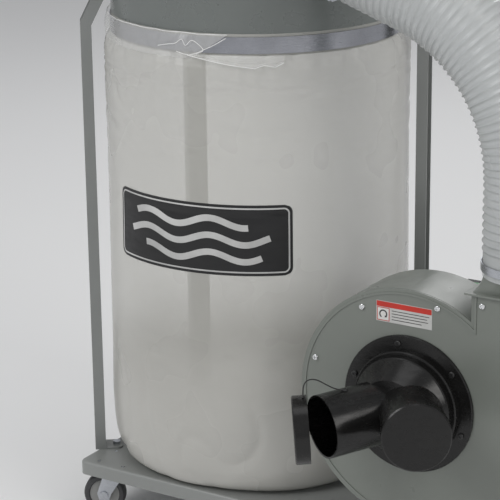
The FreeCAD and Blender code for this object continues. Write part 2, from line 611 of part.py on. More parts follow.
def impeller():
    axis = Vector(BLOWER_X, 0, BLOWER_Z)
    back = Vector(BLOWER_X, IMPELLER_BACK, BLOWER_Z)
    disc = rod(IMPELLER_RADIUS, 4, back, BACK)
    hub = rod(HUB_RADIUS, HUB_LENGTH, back, FRONT)
    blade = slab(34, IMPELLER_RADIUS - 3, -1.5, 1.5, 0, BLADE_DEPTH)
    blade.rotate(Vector(IMPELLER_RADIUS - 3, 0, 0), UP, BLADE_RAKE)
    blades = []
    for i in range(BLADES):
        vane = blade.copy()
        vane.rotate(Vector(0, 0, 0), UP, 360 * i / BLADES)
        blades.append(moved(vane, back, FRONT))
    bore = rod(SHAFT_RADIUS + 0.02, 200, axis + BACK * (IMPELLER_BACK - 100), BACK)
    PARTS["impeller"] = fuse([disc, hub] + blades).cut(bore)
    nose = IMPELLER_BACK - HUB_LENGTH
    washer = rod(20, 3, axis + BACK * (nose - 3), BACK)
    head = hexagon(16, 9, axis + BACK * (nose - 3), FRONT)
    shank = rod(5, 26, axis + BACK * (nose - 3), BACK)
    PARTS["impeller_bolt"] = fuse([washer, head, shank])


def port_direction(side):
    """Unit vector along a port: side -1 is the left port, which is rolled down, +1 the right one."""
    spread, roll = math.radians(PORT_SPREAD), math.radians(PORT_ROLL)
    across = Vector(math.cos(roll), 0, math.sin(roll)) * side
    return FRONT * math.cos(spread) + across * math.sin(spread)


def port_root():
    return Vector(BLOWER_X, COVER_FACE - 2, BLOWER_Z)


def port_mouth(side):
    return port_root() + port_direction(side) * PORT_LENGTH


def inlet_fitting():
    face = Vector(BLOWER_X, COVER_FACE, BLOWER_Z)
    stepped = [(0, 0), (FLANGE_RADIUS, 0), (FLANGE_RADIUS, 3.5), (FLANGE_RADIUS - 1.5, FLANGE_THICK),
               (91, FLANGE_THICK), (91, 15), (89, 17), (84, 17), (84, 25), (82, 27), (58, 62), (0, 62)]
    neck = turned(stepped, face, FRONT)
    tubes = [rod(PORT_RADIUS, PORT_LENGTH, port_root(), port_direction(s)) for s in (-1, 1)]
    behind = rod(300, 100, face, BACK)
    outside = fuse([neck] + tubes).cut(behind)
    throat = turned([(0, -1), (76, -1), (76, 22), (50, 58), (0, 58)], face, FRONT)
    bores = [rod(PORT_RADIUS - PORT_WALL, PORT_LENGTH + 1, port_root(), port_direction(s)) for s in (-1, 1)]
    drill = [rod(M5 + HOLE_GAP, 20, p - BACK * 10, BACK) for p in flange_screw_places(COVER_FACE)]
    PARTS["inlet_fitting"] = outside.cut([throat] + bores + drill)


def cap_hinge(side):
    """Pivot and axis of a cap: it swings about the far end of its lip; +angle opens."""
    along = port_direction(side)
    upright = (UP - along * UP.dot(along)).normalize()
    far = upright.cross(along) * side
    lip = PORT_RADIUS + CAP_GAP + CAP_WALL
    pivot = port_mouth(side) - along * CAP_LAP[side] + far * lip
    return pivot, along.cross(far)


def port_cap(side):
    """Push-on cap, seated on its port."""
    inner = PORT_RADIUS + CAP_GAP
    stop = PORT_RADIUS - PORT_WALL / 2
    floor = CAP_DEPTH - 2.5
    outer = inner + CAP_WALL
    profile = [(0, floor), (stop, floor), (stop, CAP_STOP), (inner, CAP_STOP), (inner, 0), (outer, 0),
               (outer, CAP_DEPTH - 2), (outer - 2, CAP_DEPTH), (0, CAP_DEPTH)]
    along = port_direction(side)
    return turned(profile, port_mouth(side) - along * CAP_LAP[side], along)


def caps():
    left, right = port_cap(-1), port_cap(1)
    pivot, axis = cap_hinge(-1)
    left.rotate(pivot, axis, CAP_AJAR)
    PARTS["port_cap_left"] = left
    PARTS["port_cap_right"] = right


# ---- outlet, hose and clamps --------------------------------------------------------------------------
def duct_x():
    return BLOWER_X + outlet_right() - OUTLET_WIDTH / 2


def duct_y():
    return (HOUSING_FRONT + HOUSING_BACK) / 2


COLLAR_PLATE, COLLAR_RIM = 3.0, 10.0
TRANSITION = 26.0


def outlet_collar():
    """Square-to-round collar on the housing's outlet."""
    base = BLOWER_Z + OUTLET_RISE
    x, y = duct_x(), duct_y()
    half_x, half_y = OUTLET_WIDTH / 2, (HOUSING_BACK - HOUSING_FRONT) / 2

    def loft(inset, radius, low, high):
        corners = [Vector(x + sx * (half_x - inset), y + sy * (half_y - inset), low)
                   for sx, sy in ((1, 1), (-1, 1), (-1, -1), (1, -1))]
        square = Part.makePolygon(corners + corners[:1])
        arcs = []
        for i in range(4):
            angles = [45 + 90 * i + d for d in (0, 45, 90)]
            arcs.append(Part.Arc(*[Vector(x, y, high) + polar(radius, a) for a in angles]).toShape())
        return Part.makeLoft([square, Part.Wire(arcs)], True, True)

    skirt = loft(0, DUCT_RADIUS, base + COLLAR_PLATE, base + TRANSITION)
    skirt = skirt.cut(loft(SHEET, DUCT_RADIUS - SHEET, base + COLLAR_PLATE, base + TRANSITION))
    out_x, out_y = half_x + COLLAR_RIM, half_y + COLLAR_RIM
    plate = slab(x - out_x, x + out_x, y - out_y, y + out_y, base, base + COLLAR_PLATE)
    in_x, in_y = half_x - SHEET, half_y - SHEET
    plate = plate.cut(slab(x - in_x, x + in_x, y - in_y, y + in_y, base - 1, base + 5))
    tube = pipe(DUCT_RADIUS, DUCT_RADIUS - SHEET, COLLAR_HEIGHT - TRANSITION, Vector(x, y, base + TRANSITION))
    PARTS["outlet_collar"] = fuse([plate, skirt, tube])


def hose_points():
    """From inside the lower clamp, up and over to the drum's stub."""
    top = BLOWER_Z + OUTLET_RISE + COLLAR_HEIGHT
    start = Vector(duct_x(), duct_y(), top - HOSE_LAP + 6)
    return start, hose_corner(), stub_end() - stub_direction() * (HOSE_LAP - 6)


def hose_and_clamps():
    start, corner, finish = hose_points()
    path = rounded_path([start, corner, finish], HOSE_BEND)
    inner = DUCT_RADIUS + BAG_GAP
    rim = inner + HOSE_WALL
    first = (corner - start).normalize()
    bulk = swept_round(path, rim, start, first)
    PARTS["flex_hose"] = bulk.cut(swept_round(path, inner, start, first))
    last = (finish - corner).normalize()
    for name, place, along in (("hose_clamp_lower", start, first), ("hose_clamp_upper", finish, last * -1)):
        ring = pipe(rim + 1.3, rim + 0.1, 13, place + along * 9, along)
        screw_box = slab(rim + 0.6, rim + 10, -12, 12, 10, 21)
        screw_box = screw_box.cut(slab(rim + 0.5, rim + 1.8, -9, 9, 9, 22))
        worm = rod(4, 34, Vector(rim + 6, -17, 15.5), BACK)
        lock = fuse([screw_box, worm])
        lock = moved(lock, place, along)
        PARTS[name] = fuse([ring, lock])


# ---- motor --------------------------------------------------------------------------------------------
BELL_LENGTH, FRAME_LENGTH, FRAME_WALL = 30.0, 168.0, 6.0
FRAME_START = MOTOR_FRONT + BELL_LENGTH
FRAME_END = FRAME_START + FRAME_LENGTH
REAR_BELL_LENGTH = 22.0
REAR_BELL_END = FRAME_END + REAR_BELL_LENGTH
FAN_COVER_LENGTH = 60.0
FINS, FIN_HEIGHT, FIN_THICK = 30, 8.0, 3.0
FRONT_BEARING = (23.5, SHAFT_RADIUS, 14.0)
REAR_BEARING = (20.0, TAIL_RADIUS, 12.0)
BRACKET_HALF, BRACKET_FEET = 85.0, 30.0
BRACKET_FRONT, BRACKET_REAR, BRACKET_SHEET = -72.0, 52.0, 4.0
MOTOR_FOOT_HALF, MOTOR_FOOT_THICK = 76.0, 9.0
CAPACITOR_ANGLE = 36.0
SWITCH_BOX_HALF, SWITCH_BOX_START, SWITCH_BOX_TOP = 34.0, FRAME_START + 34, BLOWER_Z + FRAME_RADIUS + 46
SWITCH_BOX_LENGTH = 100.0


def motor_axis(y):
    return Vector(BLOWER_X, y, BLOWER_Z)


def around_axis(radius, angle, y):
    a = math.radians(angle)
    return motor_axis(y) + Vector(radius * math.cos(a), 0, radius * math.sin(a))


def housing_bolt_places():
    return [around_axis(62, 45 + 90 * i, HOUSING_BACK) for i in range(4)]


def bracket_foot_places():
    return [Vector(BLOWER_X + s * (BRACKET_HALF + 16), y, 0) for s in (-1, 1)
            for y in (BRACKET_FRONT + 22, BRACKET_REAR - 22)]


def motor_foot_places():
    return [Vector(BLOWER_X + s * 60, y, BLOWER_Z - BRACKET_DROP + MOTOR_FOOT_THICK) for s in (-1, 1)
            for y in (BRACKET_FRONT + 26, BRACKET_REAR - 26)]


def motor():
    r = FRAME_RADIUS
    bearing_out, bearing_in, bearing_wide = FRONT_BEARING
    front = [(bearing_in + 3, 0), (r, 0), (r, BELL_LENGTH), (r - 5, BELL_LENGTH), (r - 5, 10), (32, 10),
             (32, 28), (bearing_out, 28), (bearing_out, 12), (bearing_in + 3, 12)]
    bell = turned(front, motor_axis(MOTOR_FRONT), BACK)
    taps = [rod(M6, 12, p - BACK * 1, BACK) for p in housing_bolt_places()]
    PARTS["motor_front_bell"] = bell.cut(taps)
    heads = [p - BACK * HOUSING_SHEET for p in housing_bolt_places()]
    PARTS["housing_bolts"] = group(fuse([hexagon(10, 4, p, FRONT), rod(M6, 10, p, BACK)]) for p in heads)

    tube = pipe(r, r - FRAME_WALL, FRAME_LENGTH, motor_axis(FRAME_START), BACK)
    fins = []
    for i in range(FINS):
        angle = 360 / FINS * (i + 0.5)
        if abs(angle - 270) < 40 or abs(angle - 90) < 28 or abs(angle - CAPACITOR_ANGLE) < 24:
            continue
        fin = slab(r - 1, r + FIN_HEIGHT, -FIN_THICK / 2, FIN_THICK / 2, 0, FRAME_LENGTH - 16)
        fin.rotate(Vector(0, 0, 0), UP, -angle)
        fins.append(moved(fin, motor_axis(FRAME_START + 8), BACK))
    foot_low = BLOWER_Z - BRACKET_DROP
    y0, y1 = BRACKET_FRONT + 10, BRACKET_REAR - 10
    sole = slab(BLOWER_X - MOTOR_FOOT_HALF, BLOWER_X + MOTOR_FOOT_HALF, y0, y1,
                foot_low, foot_low + MOTOR_FOOT_THICK)
    stem = slab(BLOWER_X - 36, BLOWER_X + 36, y0, y1, foot_low + 2, BLOWER_Z - 60)
    core = rod(r - FRAME_WALL, 400, motor_axis(FRAME_START - 60), BACK)
    holes = [rod(M6 + HOLE_GAP, 30, p - UP * 20) for p in motor_foot_places()]
    PARTS["motor_frame"] = fuse([tube] + fins + [sole, stem]).cut([core] + holes)

    bearing_out2, bearing_in2, bearing_wide2 = REAR_BEARING
    rear = [(bearing_in2 + 3, REAR_BELL_LENGTH), (r, REAR_BELL_LENGTH), (r, 0), (r - 5, 0), (r - 5, 14),
            (28, 14), (28, 2), (bearing_out2, 2), (bearing_out2, 2 + bearing_wide2),
            (bearing_in2 + 3, 2 + bearing_wide2)]
    PARTS["motor_rear_bell"] = turned(rear, motor_axis(FRAME_END), BACK)
    front_seat, rear_seat = motor_axis(MOTOR_FRONT + 12.1), motor_axis(FRAME_END + 2.1)
    PARTS["bearing_front"] = pipe(bearing_out, bearing_in + RUNNING_GAP, bearing_wide, front_seat, BACK)
    bore2 = bearing_in2 + RUNNING_GAP
    PARTS["bearing_rear"] = pipe(bearing_out2, bore2, bearing_wide2 - 0.2, rear_seat, BACK)

    core_start, core_end = FRAME_START + 38, FRAME_START + 132
    stack = pipe(r - FRAME_WALL, 49, core_end - core_start, motor_axis(core_start), BACK)
    coils = [pipe(68, 52, 24, motor_axis(y), BACK) for y in (core_start - 24, core_end)]
    PARTS["stator"] = fuse([stack] + coils)

    nose = IMPELLER_BACK - HUB_LENGTH
    tail = REAR_BELL_END + 36
    shaft = turned([(0, nose), (SHAFT_RADIUS, nose), (SHAFT_RADIUS, core_start), (48.4, core_start),
                    (48.4, core_end), (TAIL_RADIUS, core_end), (TAIL_RADIUS, tail), (0, tail)],
                   motor_axis(0), BACK)
    PARTS["rotor_shaft"] = shaft.cut(rod(5, 24, motor_axis(nose), BACK))

    fan_start = REAR_BELL_END + 8
    fan = [rod(18, 24, motor_axis(fan_start), BACK), rod(64, 3, motor_axis(fan_start), BACK)]
    vane = slab(15, 64, -1.25, 1.25, 0, 22)
    for i in range(6):
        v = vane.copy()
        v.rotate(Vector(0, 0, 0), UP, 60 * i)
        fan.append(moved(v, motor_axis(fan_start), BACK))
    PARTS["cooling_fan"] = fuse(fan).cut(rod(TAIL_RADIUS + 0.02, 60, motor_axis(fan_start - 5), BACK))

    end = FAN_COVER_LENGTH
    hood = turned([(0, end), (r - 8, end), (r + 4, end - 14), (r + 4, -8), (r + 2.2, -8), (r + 2.2, end - 15),
                   (r - 9, end - 2), (0, end - 2)], motor_axis(REAR_BELL_END), BACK)
    slot = slab(24, 62, -2.5, 2.5, end - 6, end + 2)
    slots = []
    for i in range(16):
        s = slot.copy()
        s.rotate(Vector(0, 0, 0), UP, 22.5 * i)
        slots.append(moved(s, motor_axis(REAR_BELL_END), BACK))
    spacers = [slab(r - 0.5, r + 2.4, -6, 6, -6, 6) for _ in range(3)]
    for i, block in enumerate(spacers):
        block.rotate(Vector(0, 0, 0), UP, 30 + 120 * i)
    ring_gap = rod(r, 40, Vector(0, 0, -10))
    blocks = [moved(block.cut(ring_gap), motor_axis(REAR_BELL_END), BACK) for block in spacers]
    PARTS["fan_cover"] = fuse([hood.cut(slots)] + blocks)


def rocker_pin():
    return SWITCH_BOX_START + 51, SWITCH_BOX_TOP - 6


def motor_fittings():
    r = FRAME_RADIUS
    can_y, can_length, can_radius = FRAME_START + 22, 118.0, 24.0
    seat = around_axis(r + 20, CAPACITOR_ANGLE, can_y)
    can = rod(can_radius, can_length, seat, BACK)
    saddle = slab(r - 1, r + 20, -15, 15, 6, can_length - 6)
    saddle.rotate(Vector(0, 0, 0), UP, -CAPACITOR_ANGLE)
    can = fuse([can, moved(saddle, motor_axis(can_y), BACK)])
    PARTS["capacitor_cover"] = can.cut(rod(r, 300, motor_axis(can_y - 50), BACK))

    half, low, high = SWITCH_BOX_HALF, BLOWER_Z + r - 6, SWITCH_BOX_TOP
    y0, y1 = SWITCH_BOX_START, SWITCH_BOX_START + SWITCH_BOX_LENGTH
    box = slab(BLOWER_X - half, BLOWER_X + half, y0, y1, low, high)
    box = box.makeFillet(5, [e for e in box.Edges if e.CenterOfMass.z > low + 1])
    well = slab(BLOWER_X - 12, BLOWER_X + 12, y0 + 30, y0 + 72, high - 14, high + 1)
    box = box.cut([rod(r, 300, motor_axis(y0 - 50), BACK), well])
    pin_y, pin_z = rocker_pin()
    pin_hole = rod(2 + RUNNING_GAP, 2 * half - 20, Vector(BLOWER_X - half + 10, pin_y, pin_z), RIGHT)
    PARTS["switch_box"] = box.cut(pin_hole)
    half_rocker = 11.5
    side = [(-19, 3), (-19, 11), (0, 7), (19, 11), (19, 3), (0, -5)]
    rocker = prism([Vector(BLOWER_X - half_rocker, pin_y + y, pin_z + z) for y, z in side],
                   RIGHT * 2 * half_rocker)
    pivot = rod(2, 2 * half - 22, Vector(BLOWER_X - half + 11, pin_y, pin_z), RIGHT)
    PARTS["switch_rocker"] = fuse([rocker, pivot])

    exit_point = Vector(BLOWER_X, y1, high - 24)
    gland = fuse([hexagon(20, 7, exit_point, BACK), rod(7.5, 14, exit_point, BACK)])
    PARTS["cord_gland"] = gland.cut(rod(4, 20, exit_point + BACK * 4, BACK))



def motor_bracket():
    """Bent plate under the motor, its two feet bolted to the base plate."""
    t, h, toe = BRACKET_SHEET, BRACKET_HALF, BRACKET_HALF + BRACKET_FEET
    low, high = PLATE_TOP, BLOWER_Z - BRACKET_DROP
    side = [(-toe, low), (-h + t, low), (-h + t, high - t), (h - t, high - t), (h - t, low), (toe, low),
            (toe, low + t), (h, low + t), (h, high), (-h, high), (-h, low + t), (-toe, low + t)]
    front = [Vector(BLOWER_X + x, BRACKET_FRONT, z) for x, z in side]
    bracket = prism(front, BACK * (BRACKET_REAR - BRACKET_FRONT))
    holes = [rod(M8 + HOLE_GAP, 30, p + UP * (PLATE_TOP - 10)) for p in bracket_foot_places()]
    holes += [rod(M6 + HOLE_GAP, 30, p - UP * 25) for p in motor_foot_places()]
    PARTS["motor_bracket"] = bracket.cut(holes)
    down = UP * -1
    foot_bolts = [hex_bolt(p + UP * (low + t), down, M8, t + PLATE_THICK) for p in bracket_foot_places()]
    top_bolts = [hex_bolt(p, down, M6, MOTOR_FOOT_THICK + t) for p in motor_foot_places()]
    PARTS["bracket_bolts"] = group(foot_bolts + top_bolts)


# ---- tether of the left cap ---------------------------------------------------------------------------
TETHER_RADIUS = 1.0
TETHER_SCREW, TETHER_SCREW_LENGTH, TETHER_SCREW_ALONG = 2.2, 2.9, 111.0
TETHER_ROUTE = [(367.5, -352.5, 389.9), (360.4, -360.9, 392.6), (350.2, -373.2, 402.4),
                (340.6, -385.2, 413.2), (331.4, -397.4, 415.2), (326.6, -404.6, 404.6), (327.6, -404.2, 387.1)]


def tether():
    """Cord from a screw on top of the left port to the rim of its ajar cap, in a loose hump."""
    along = port_direction(-1)
    upright = (UP - along * UP.dot(along)).normalize()
    inward = upright * -1
    anchor = port_root() + along * TETHER_SCREW_ALONG + upright * PORT_RADIUS
    PARTS["tether_screw"] = pan_screw(anchor, inward, TETHER_SCREW, TETHER_SCREW_LENGTH)
    hole = rod(TETHER_SCREW + RUNNING_GAP, 4 * PORT_WALL, anchor + upright * PORT_WALL, inward)
    PARTS["inlet_fitting"] = PARTS["inlet_fitting"].cut(hole)
    route = [Vector(*point) for point in TETHER_ROUTE]
    path = rounded_path(route)
    PARTS["cap_tether"] = swept_round(path, TETHER_RADIUS, route[0], route[1] - route[0])
    print("tether length", round(path.Length, 1))


# ---- assembly -----------------------------------------------------------------------------------------
def place_on_origin():
    """Move every piece so that the footprint box is centred on the origin."""
    whole = Part.makeCompound(list(PARTS.values())).optimalBoundingBox(False)
    shift = Vector(-(whole.XMin + whole.XMax) / 2, -(whole.YMin + whole.YMax) / 2, 0)
    for shape in PARTS.values():
        shape.translate(shift)
    return shift


def build():
    base_plate()
    caster_plates()
    for name, place in caster_places().items():
        caster(name, place, CASTER_HEADINGS[name])
    legs()
    drum()
    collection_bag()
    filter_bag()
    band("lower_band", LOWER_BAND_TOP, LATCH_AT)
    band("upper_band", DRUM_TOP, LATCH_AT)
    hanger()
    blower()
    impeller()
    inlet_fitting()
    caps()
    outlet_collar()
    hose_and_clamps()
    motor()
    motor_fittings()
    motor_bracket()
    tether()
    return place_on_origin()


SHIFT = build()
os.makedirs("parts", exist_ok=True)
for node, shape in PARTS.items():
    shape.exportStep("parts/" + node + ".step")
print(len(PARTS), "nodes, moved by", round(SHIFT.x, 2), round(SHIFT.y, 2))
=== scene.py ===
"""Looks of the dust collector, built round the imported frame. Metres; heights are from the floor."""
import math

import bpy
import numpy as np
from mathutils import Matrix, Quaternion, Vector, noise
from mathutils.bvhtree import BVHTree


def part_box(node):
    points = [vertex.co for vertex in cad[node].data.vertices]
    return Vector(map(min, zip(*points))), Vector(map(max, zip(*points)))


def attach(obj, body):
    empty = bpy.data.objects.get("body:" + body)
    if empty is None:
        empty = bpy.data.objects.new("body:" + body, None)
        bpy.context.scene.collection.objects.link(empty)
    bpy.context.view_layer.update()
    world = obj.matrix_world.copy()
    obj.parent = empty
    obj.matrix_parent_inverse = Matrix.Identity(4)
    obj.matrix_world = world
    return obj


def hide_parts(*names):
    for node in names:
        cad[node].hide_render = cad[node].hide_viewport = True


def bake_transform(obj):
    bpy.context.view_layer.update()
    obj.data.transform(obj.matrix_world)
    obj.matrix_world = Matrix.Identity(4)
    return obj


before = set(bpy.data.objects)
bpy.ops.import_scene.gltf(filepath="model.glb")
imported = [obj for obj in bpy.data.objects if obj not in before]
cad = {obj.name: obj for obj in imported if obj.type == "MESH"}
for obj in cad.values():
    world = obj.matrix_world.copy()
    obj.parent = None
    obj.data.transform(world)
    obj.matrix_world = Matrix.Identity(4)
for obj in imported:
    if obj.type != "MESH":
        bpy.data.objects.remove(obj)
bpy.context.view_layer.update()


def middle_of(node):
    low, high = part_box(node)
    return (low + high) / 2


AXIS = middle_of("collection_bag") * Vector((1, 1, 0))      # the drum's upright axis, on the floor
PLATE_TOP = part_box("collection_bag")[0].z
BAND_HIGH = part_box("lower_band")[1].z
UPPER_LOW, UPPER_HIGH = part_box("upper_band")[0].z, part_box("upper_band")[1].z
NECK = 0.2507                                               # film and cloth on the drum, under the bands
LOOP_STANDS = 0.034                                         # the hanging loop, above the filter bag's crown
CLOTH_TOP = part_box("filter_bag")[1].z - LOOP_STANDS
FILM_RADIUS, CLOTH_RADIUS = 0.264, 0.256                    # mean radii of the hung bags

# ---- camera, light and floor --------------------------------------------------------------------------
CAMERA_PLACE = (1.586, -2.805, 1.527)
CAMERA_AZIMUTH, CAMERA_ELEVATION, CAMERA_ROLL = 32.113, 17.357, -0.683
CAMERA_LENS, CAMERA_SENSOR = 144.0, 36.0                    # millimetres
SKY_COLOUR, SKY_STRENGTH = (0.93, 0.94, 0.96), 0.42
# name, place, aim, width and height in metres, power in watts, colour
LIGHTS = (("key_light", (-1.6, -3.4, 3.6), (-0.1, 0, 0.8), (2.2, 2.2), 70, (1, 1, 1)),
          ("side_light", (3.6, -0.9, 2.2), (0, 0, 0.7), (1.4, 2.4), 34, (1, 0.98, 0.95)),
          ("back_light", (-1.0, 3.4, 3.0), (0, 0, 0.9), (2.4, 1.6), 30, (1, 1, 1)),
          ("top_light", (0, 0, 4.6), (0, 0, 0), (2.6, 2.6), 22, (1, 1, 1)))
FLOOR_HALF, FLOOR_GREY, FLOOR_ROUGHNESS = 40.0, 0.86, 0.8


def make_camera():
    data = bpy.data.cameras.new("camera")
    data.lens, data.sensor_width = CAMERA_LENS, CAMERA_SENSOR
    data.clip_start, data.clip_end = 0.05, 100
    camera = bpy.data.objects.new("camera", data)
    bpy.context.scene.collection.objects.link(camera)
    a, e = math.radians(CAMERA_AZIMUTH), math.radians(CAMERA_ELEVATION)
    back = Vector((math.sin(a) * math.cos(e), -math.cos(a) * math.cos(e), math.sin(e)))
    level = (-back).to_track_quat("-Z", "Y")
    camera.rotation_mode = "QUATERNION"
    camera.rotation_quaternion = level @ Quaternion((0, 0, 1), math.radians(CAMERA_ROLL))
    camera.location = CAMERA_PLACE
    bpy.context.scene.camera = camera


def area_light(name, place, aim, size, power, colour):
    data = bpy.data.lights.new(name, "AREA")
    data.shape, data.size, data.size_y = "RECTANGLE", size[0], size[1]
    data.energy, data.color = power, colour
    lamp = bpy.data.objects.new(name, data)
    lamp.location = place
    lamp.rotation_euler = (Vector(place) - Vector(aim)).to_track_quat("Z", "Y").to_euler()
    bpy.context.scene.collection.objects.link(lamp)


def make_stage():
    world = bpy.data.worlds.new("studio")
    world.use_nodes = True
    background = world.node_tree.nodes["Background"]
    background.inputs["Color"].default_value = (*SKY_COLOUR, 1)
    background.inputs["Strength"].default_value = SKY_STRENGTH
    bpy.context.scene.world = world
    bpy.context.scene.view_settings.view_transform = "Standard"
    for light in LIGHTS:
        area_light(*light)
    corners = [(x * FLOOR_HALF, y * FLOOR_HALF, 0) for x, y in ((-1, -1), (1, -1), (1, 1), (-1, 1))]
    mesh = bpy.data.meshes.new("floor")
    mesh.from_pydata(corners, [], [(0, 1, 2, 3)])
    floor = bpy.data.objects.new("floor", mesh)
    bpy.context.scene.collection.objects.link(floor)
    paint = bpy.data.materials.new("floor_pale")
    paint.use_nodes = True
    shader = paint.node_tree.nodes["Principled BSDF"]
    shader.inputs["Base Color"].default_value = (FLOOR_GREY, FLOOR_GREY, FLOOR_GREY, 1)
    shader.inputs["Roughness"].default_value = FLOOR_ROUGHNESS
    mesh.materials.append(paint)


# ---- material building --------------------------------------------------------------------------------
# Texture scales are per metre, relief depths are metres.
NOISE_ROUGHNESS = 0.55
MIDDLE_OF_NOISE = (0.3, 0.7)                                # most of a noise lies between these
CLOUDY = (0.35, 0.7)                                        # the part of a noise that shifts a colour


class Finish:
    """A procedural material: one Principled shader with textures in the piece's own coordinates."""

    def __init__(self, name, colour, roughness, metallic=0.0, **sockets):
        self.material = bpy.data.materials.new(name)
        self.material.use_nodes = True
        self.tree = self.material.node_tree
        self.shader = self.tree.nodes["Principled BSDF"]
        self.set("Base Color", (*colour, 1))
        self.set("Roughness", roughness)
        self.set("Metallic", metallic)
        for key, value in sockets.items():
            self.set(key.replace("_", " "), value)
        self.place = self.tree.nodes.new("ShaderNodeTexCoord").outputs["Object"]
        self.height = None

    def set(self, socket, value):
        self.shader.inputs[socket].default_value = value

    def join(self, output, socket):
        self.tree.links.new(output, socket)

    def stretched(self, scale):
        """Coordinates squeezed or stretched along each axis."""
        node = self.tree.nodes.new("ShaderNodeMapping")
        node.inputs["Scale"].default_value = scale
        self.join(self.place, node.inputs["Vector"])
        return node.outputs["Vector"]

    def noise(self, scale, detail, where=None):
        node = self.tree.nodes.new("ShaderNodeTexNoise")
        node.inputs["Scale"].default_value = scale
        node.inputs["Detail"].default_value = detail
        node.inputs["Roughness"].default_value = NOISE_ROUGHNESS
        self.join(where or self.place, node.inputs["Vector"])
        return node.outputs["Fac"]

    def waves(self, scale, axis, distortion):
        node = self.tree.nodes.new("ShaderNodeTexWave")
        node.bands_direction = axis
        node.inputs["Scale"].default_value = scale
        node.inputs["Distortion"].default_value = distortion
        self.join(self.place, node.inputs["Vector"])
        return node.outputs["Fac"]

    def spread(self, value, low, high, to_low=0.0, to_high=1.0):
        """A value between low and high, mapped to another stretch."""
        node = self.tree.nodes.new("ShaderNodeMapRange")
        for socket, number in zip(("From Min", "From Max", "To Min", "To Max"), (low, high, to_low, to_high)):
            node.inputs[socket].default_value = number
        self.join(value, node.inputs["Value"])
        return node.outputs["Result"]

    def maths(self, operation, a, b):
        node = self.tree.nodes.new("ShaderNodeMath")
        node.operation = operation
        for value, socket in zip((a, b), node.inputs):
            if isinstance(value, (int, float)):
                socket.default_value = value
            else:
                self.join(value, socket)
        return node.outputs["Value"]

    def mixed(self, share, first, second):
        """Colour between first and second; each is a colour or an output."""
        node = self.tree.nodes.new("ShaderNodeMix")
        node.data_type = "RGBA"
        self.join(share, node.inputs["Factor"])
        for value, socket in ((first, node.inputs[6]), (second, node.inputs[7])):
            if isinstance(value, tuple):
                socket.default_value = (*value, 1)
            else:
                self.join(value, socket)
        return node.outputs[2]

    def colour(self, output):
        self.join(output, self.shader.inputs["Base Color"])

    def rough(self, share, low, high):
        self.join(self.spread(share, *MIDDLE_OF_NOISE, low, high), self.shader.inputs["Roughness"])

    def cloudy(self, colour, scale, detail, darkest, lightest):
        """Colour clouded between these shares of itself."""
        cloud = self.spread(self.noise(scale, detail), *CLOUDY)
        return self.mixed(cloud, shade(colour, darkest), shade(colour, lightest))

    def bump(self, height, distance, strength=1.0):
        """Relief of this real depth, in metres; several reliefs stack."""
        node = self.tree.nodes.new("ShaderNodeBump")
        node.inputs["Distance"].default_value = distance
        node.inputs["Strength"].default_value = strength
        self.join(height, node.inputs["Height"])
        if self.height is not None:
            self.join(self.height, node.inputs["Normal"])
        self.height = node.outputs["Normal"]
        self.join(self.height, self.shader.inputs["Normal"])


def shade(colour, factor):
    return tuple(min(1.0, c * factor) for c in colour)


def paint(name, colour, roughness, metallic=0.0):
    """Sprayed enamel: orange peel, faint cloudiness and a little dust."""
    f = Finish(name, colour, roughness, metallic, Coat_Weight=0.25, Coat_Roughness=0.22)
    f.colour(f.cloudy(colour, 3.5, 4, 0.94, 1.06))
    f.rough(f.noise(24, 5), roughness - 0.06, roughness + 0.08)
    f.bump(f.noise(420, 2), 0.00006)
    f.bump(f.noise(6, 2), 0.0012, 0.25)
    return f.material


def galvanised(name, colour, roughness):
    """Zinc-plated strip and hardware with fine rolling lines."""
    f = Finish(name, colour, roughness, 1.0)
    f.colour(f.cloudy(colour, 18, 4, 0.86, 1.08))
    lines = f.noise(60, 3, f.stretched((1, 1, 26)))
    f.rough(lines, roughness - 0.08, roughness + 0.1)
    f.bump(lines, 0.00008)
    return f.material


def moulded(name, colour, roughness, shine=0.5):
    """Moulded plastic with a fine satin grain and faint flow marks."""
    f = Finish(name, colour, roughness, 0.0, Specular_IOR_Level=shine)
    f.colour(f.cloudy(colour, 9, 4, 0.8, 1.25))
    f.rough(f.noise(40, 4, f.stretched((1, 1, 3))), roughness - 0.07, roughness + 0.1)
    f.bump(f.noise(900, 2), 0.00005)
    f.bump(f.noise(14, 2), 0.0008, 0.3)
    return f.material


def rubber(name, colour):
    """Foam rubber with an open grain."""
    f = Finish(name, colour, 0.7)
    f.colour(f.mixed(f.noise(60, 5), shade(colour, 0.7), shade(colour, 1.6)))
    f.bump(f.noise(700, 3), 0.00012)
    return f.material


def cast_metal(name, colour):
    """Sand-cast metal, as cast."""
    f = Finish(name, colour, 0.5, 0.9)
    f.colour(f.mixed(f.noise(40, 4), shade(colour, 0.75), shade(colour, 1.1)))
    f.bump(f.noise(260, 3), 0.0003)
    return f.material


def wound_copper(name):
    """Enamelled windings, seen as slanting turns of wire."""
    f = Finish(name, (0.48, 0.22, 0.09), 0.4, 0.8)
    f.bump(f.waves(160, "DIAGONAL", 1.5), 0.0006)
    return f.material


def chrome(name):
    """Bright plating."""
    f = Finish(name, (0.78, 0.79, 0.8), 0.12, 1.0)
    f.rough(f.noise(300, 2), 0.08, 0.2)
    return f.material


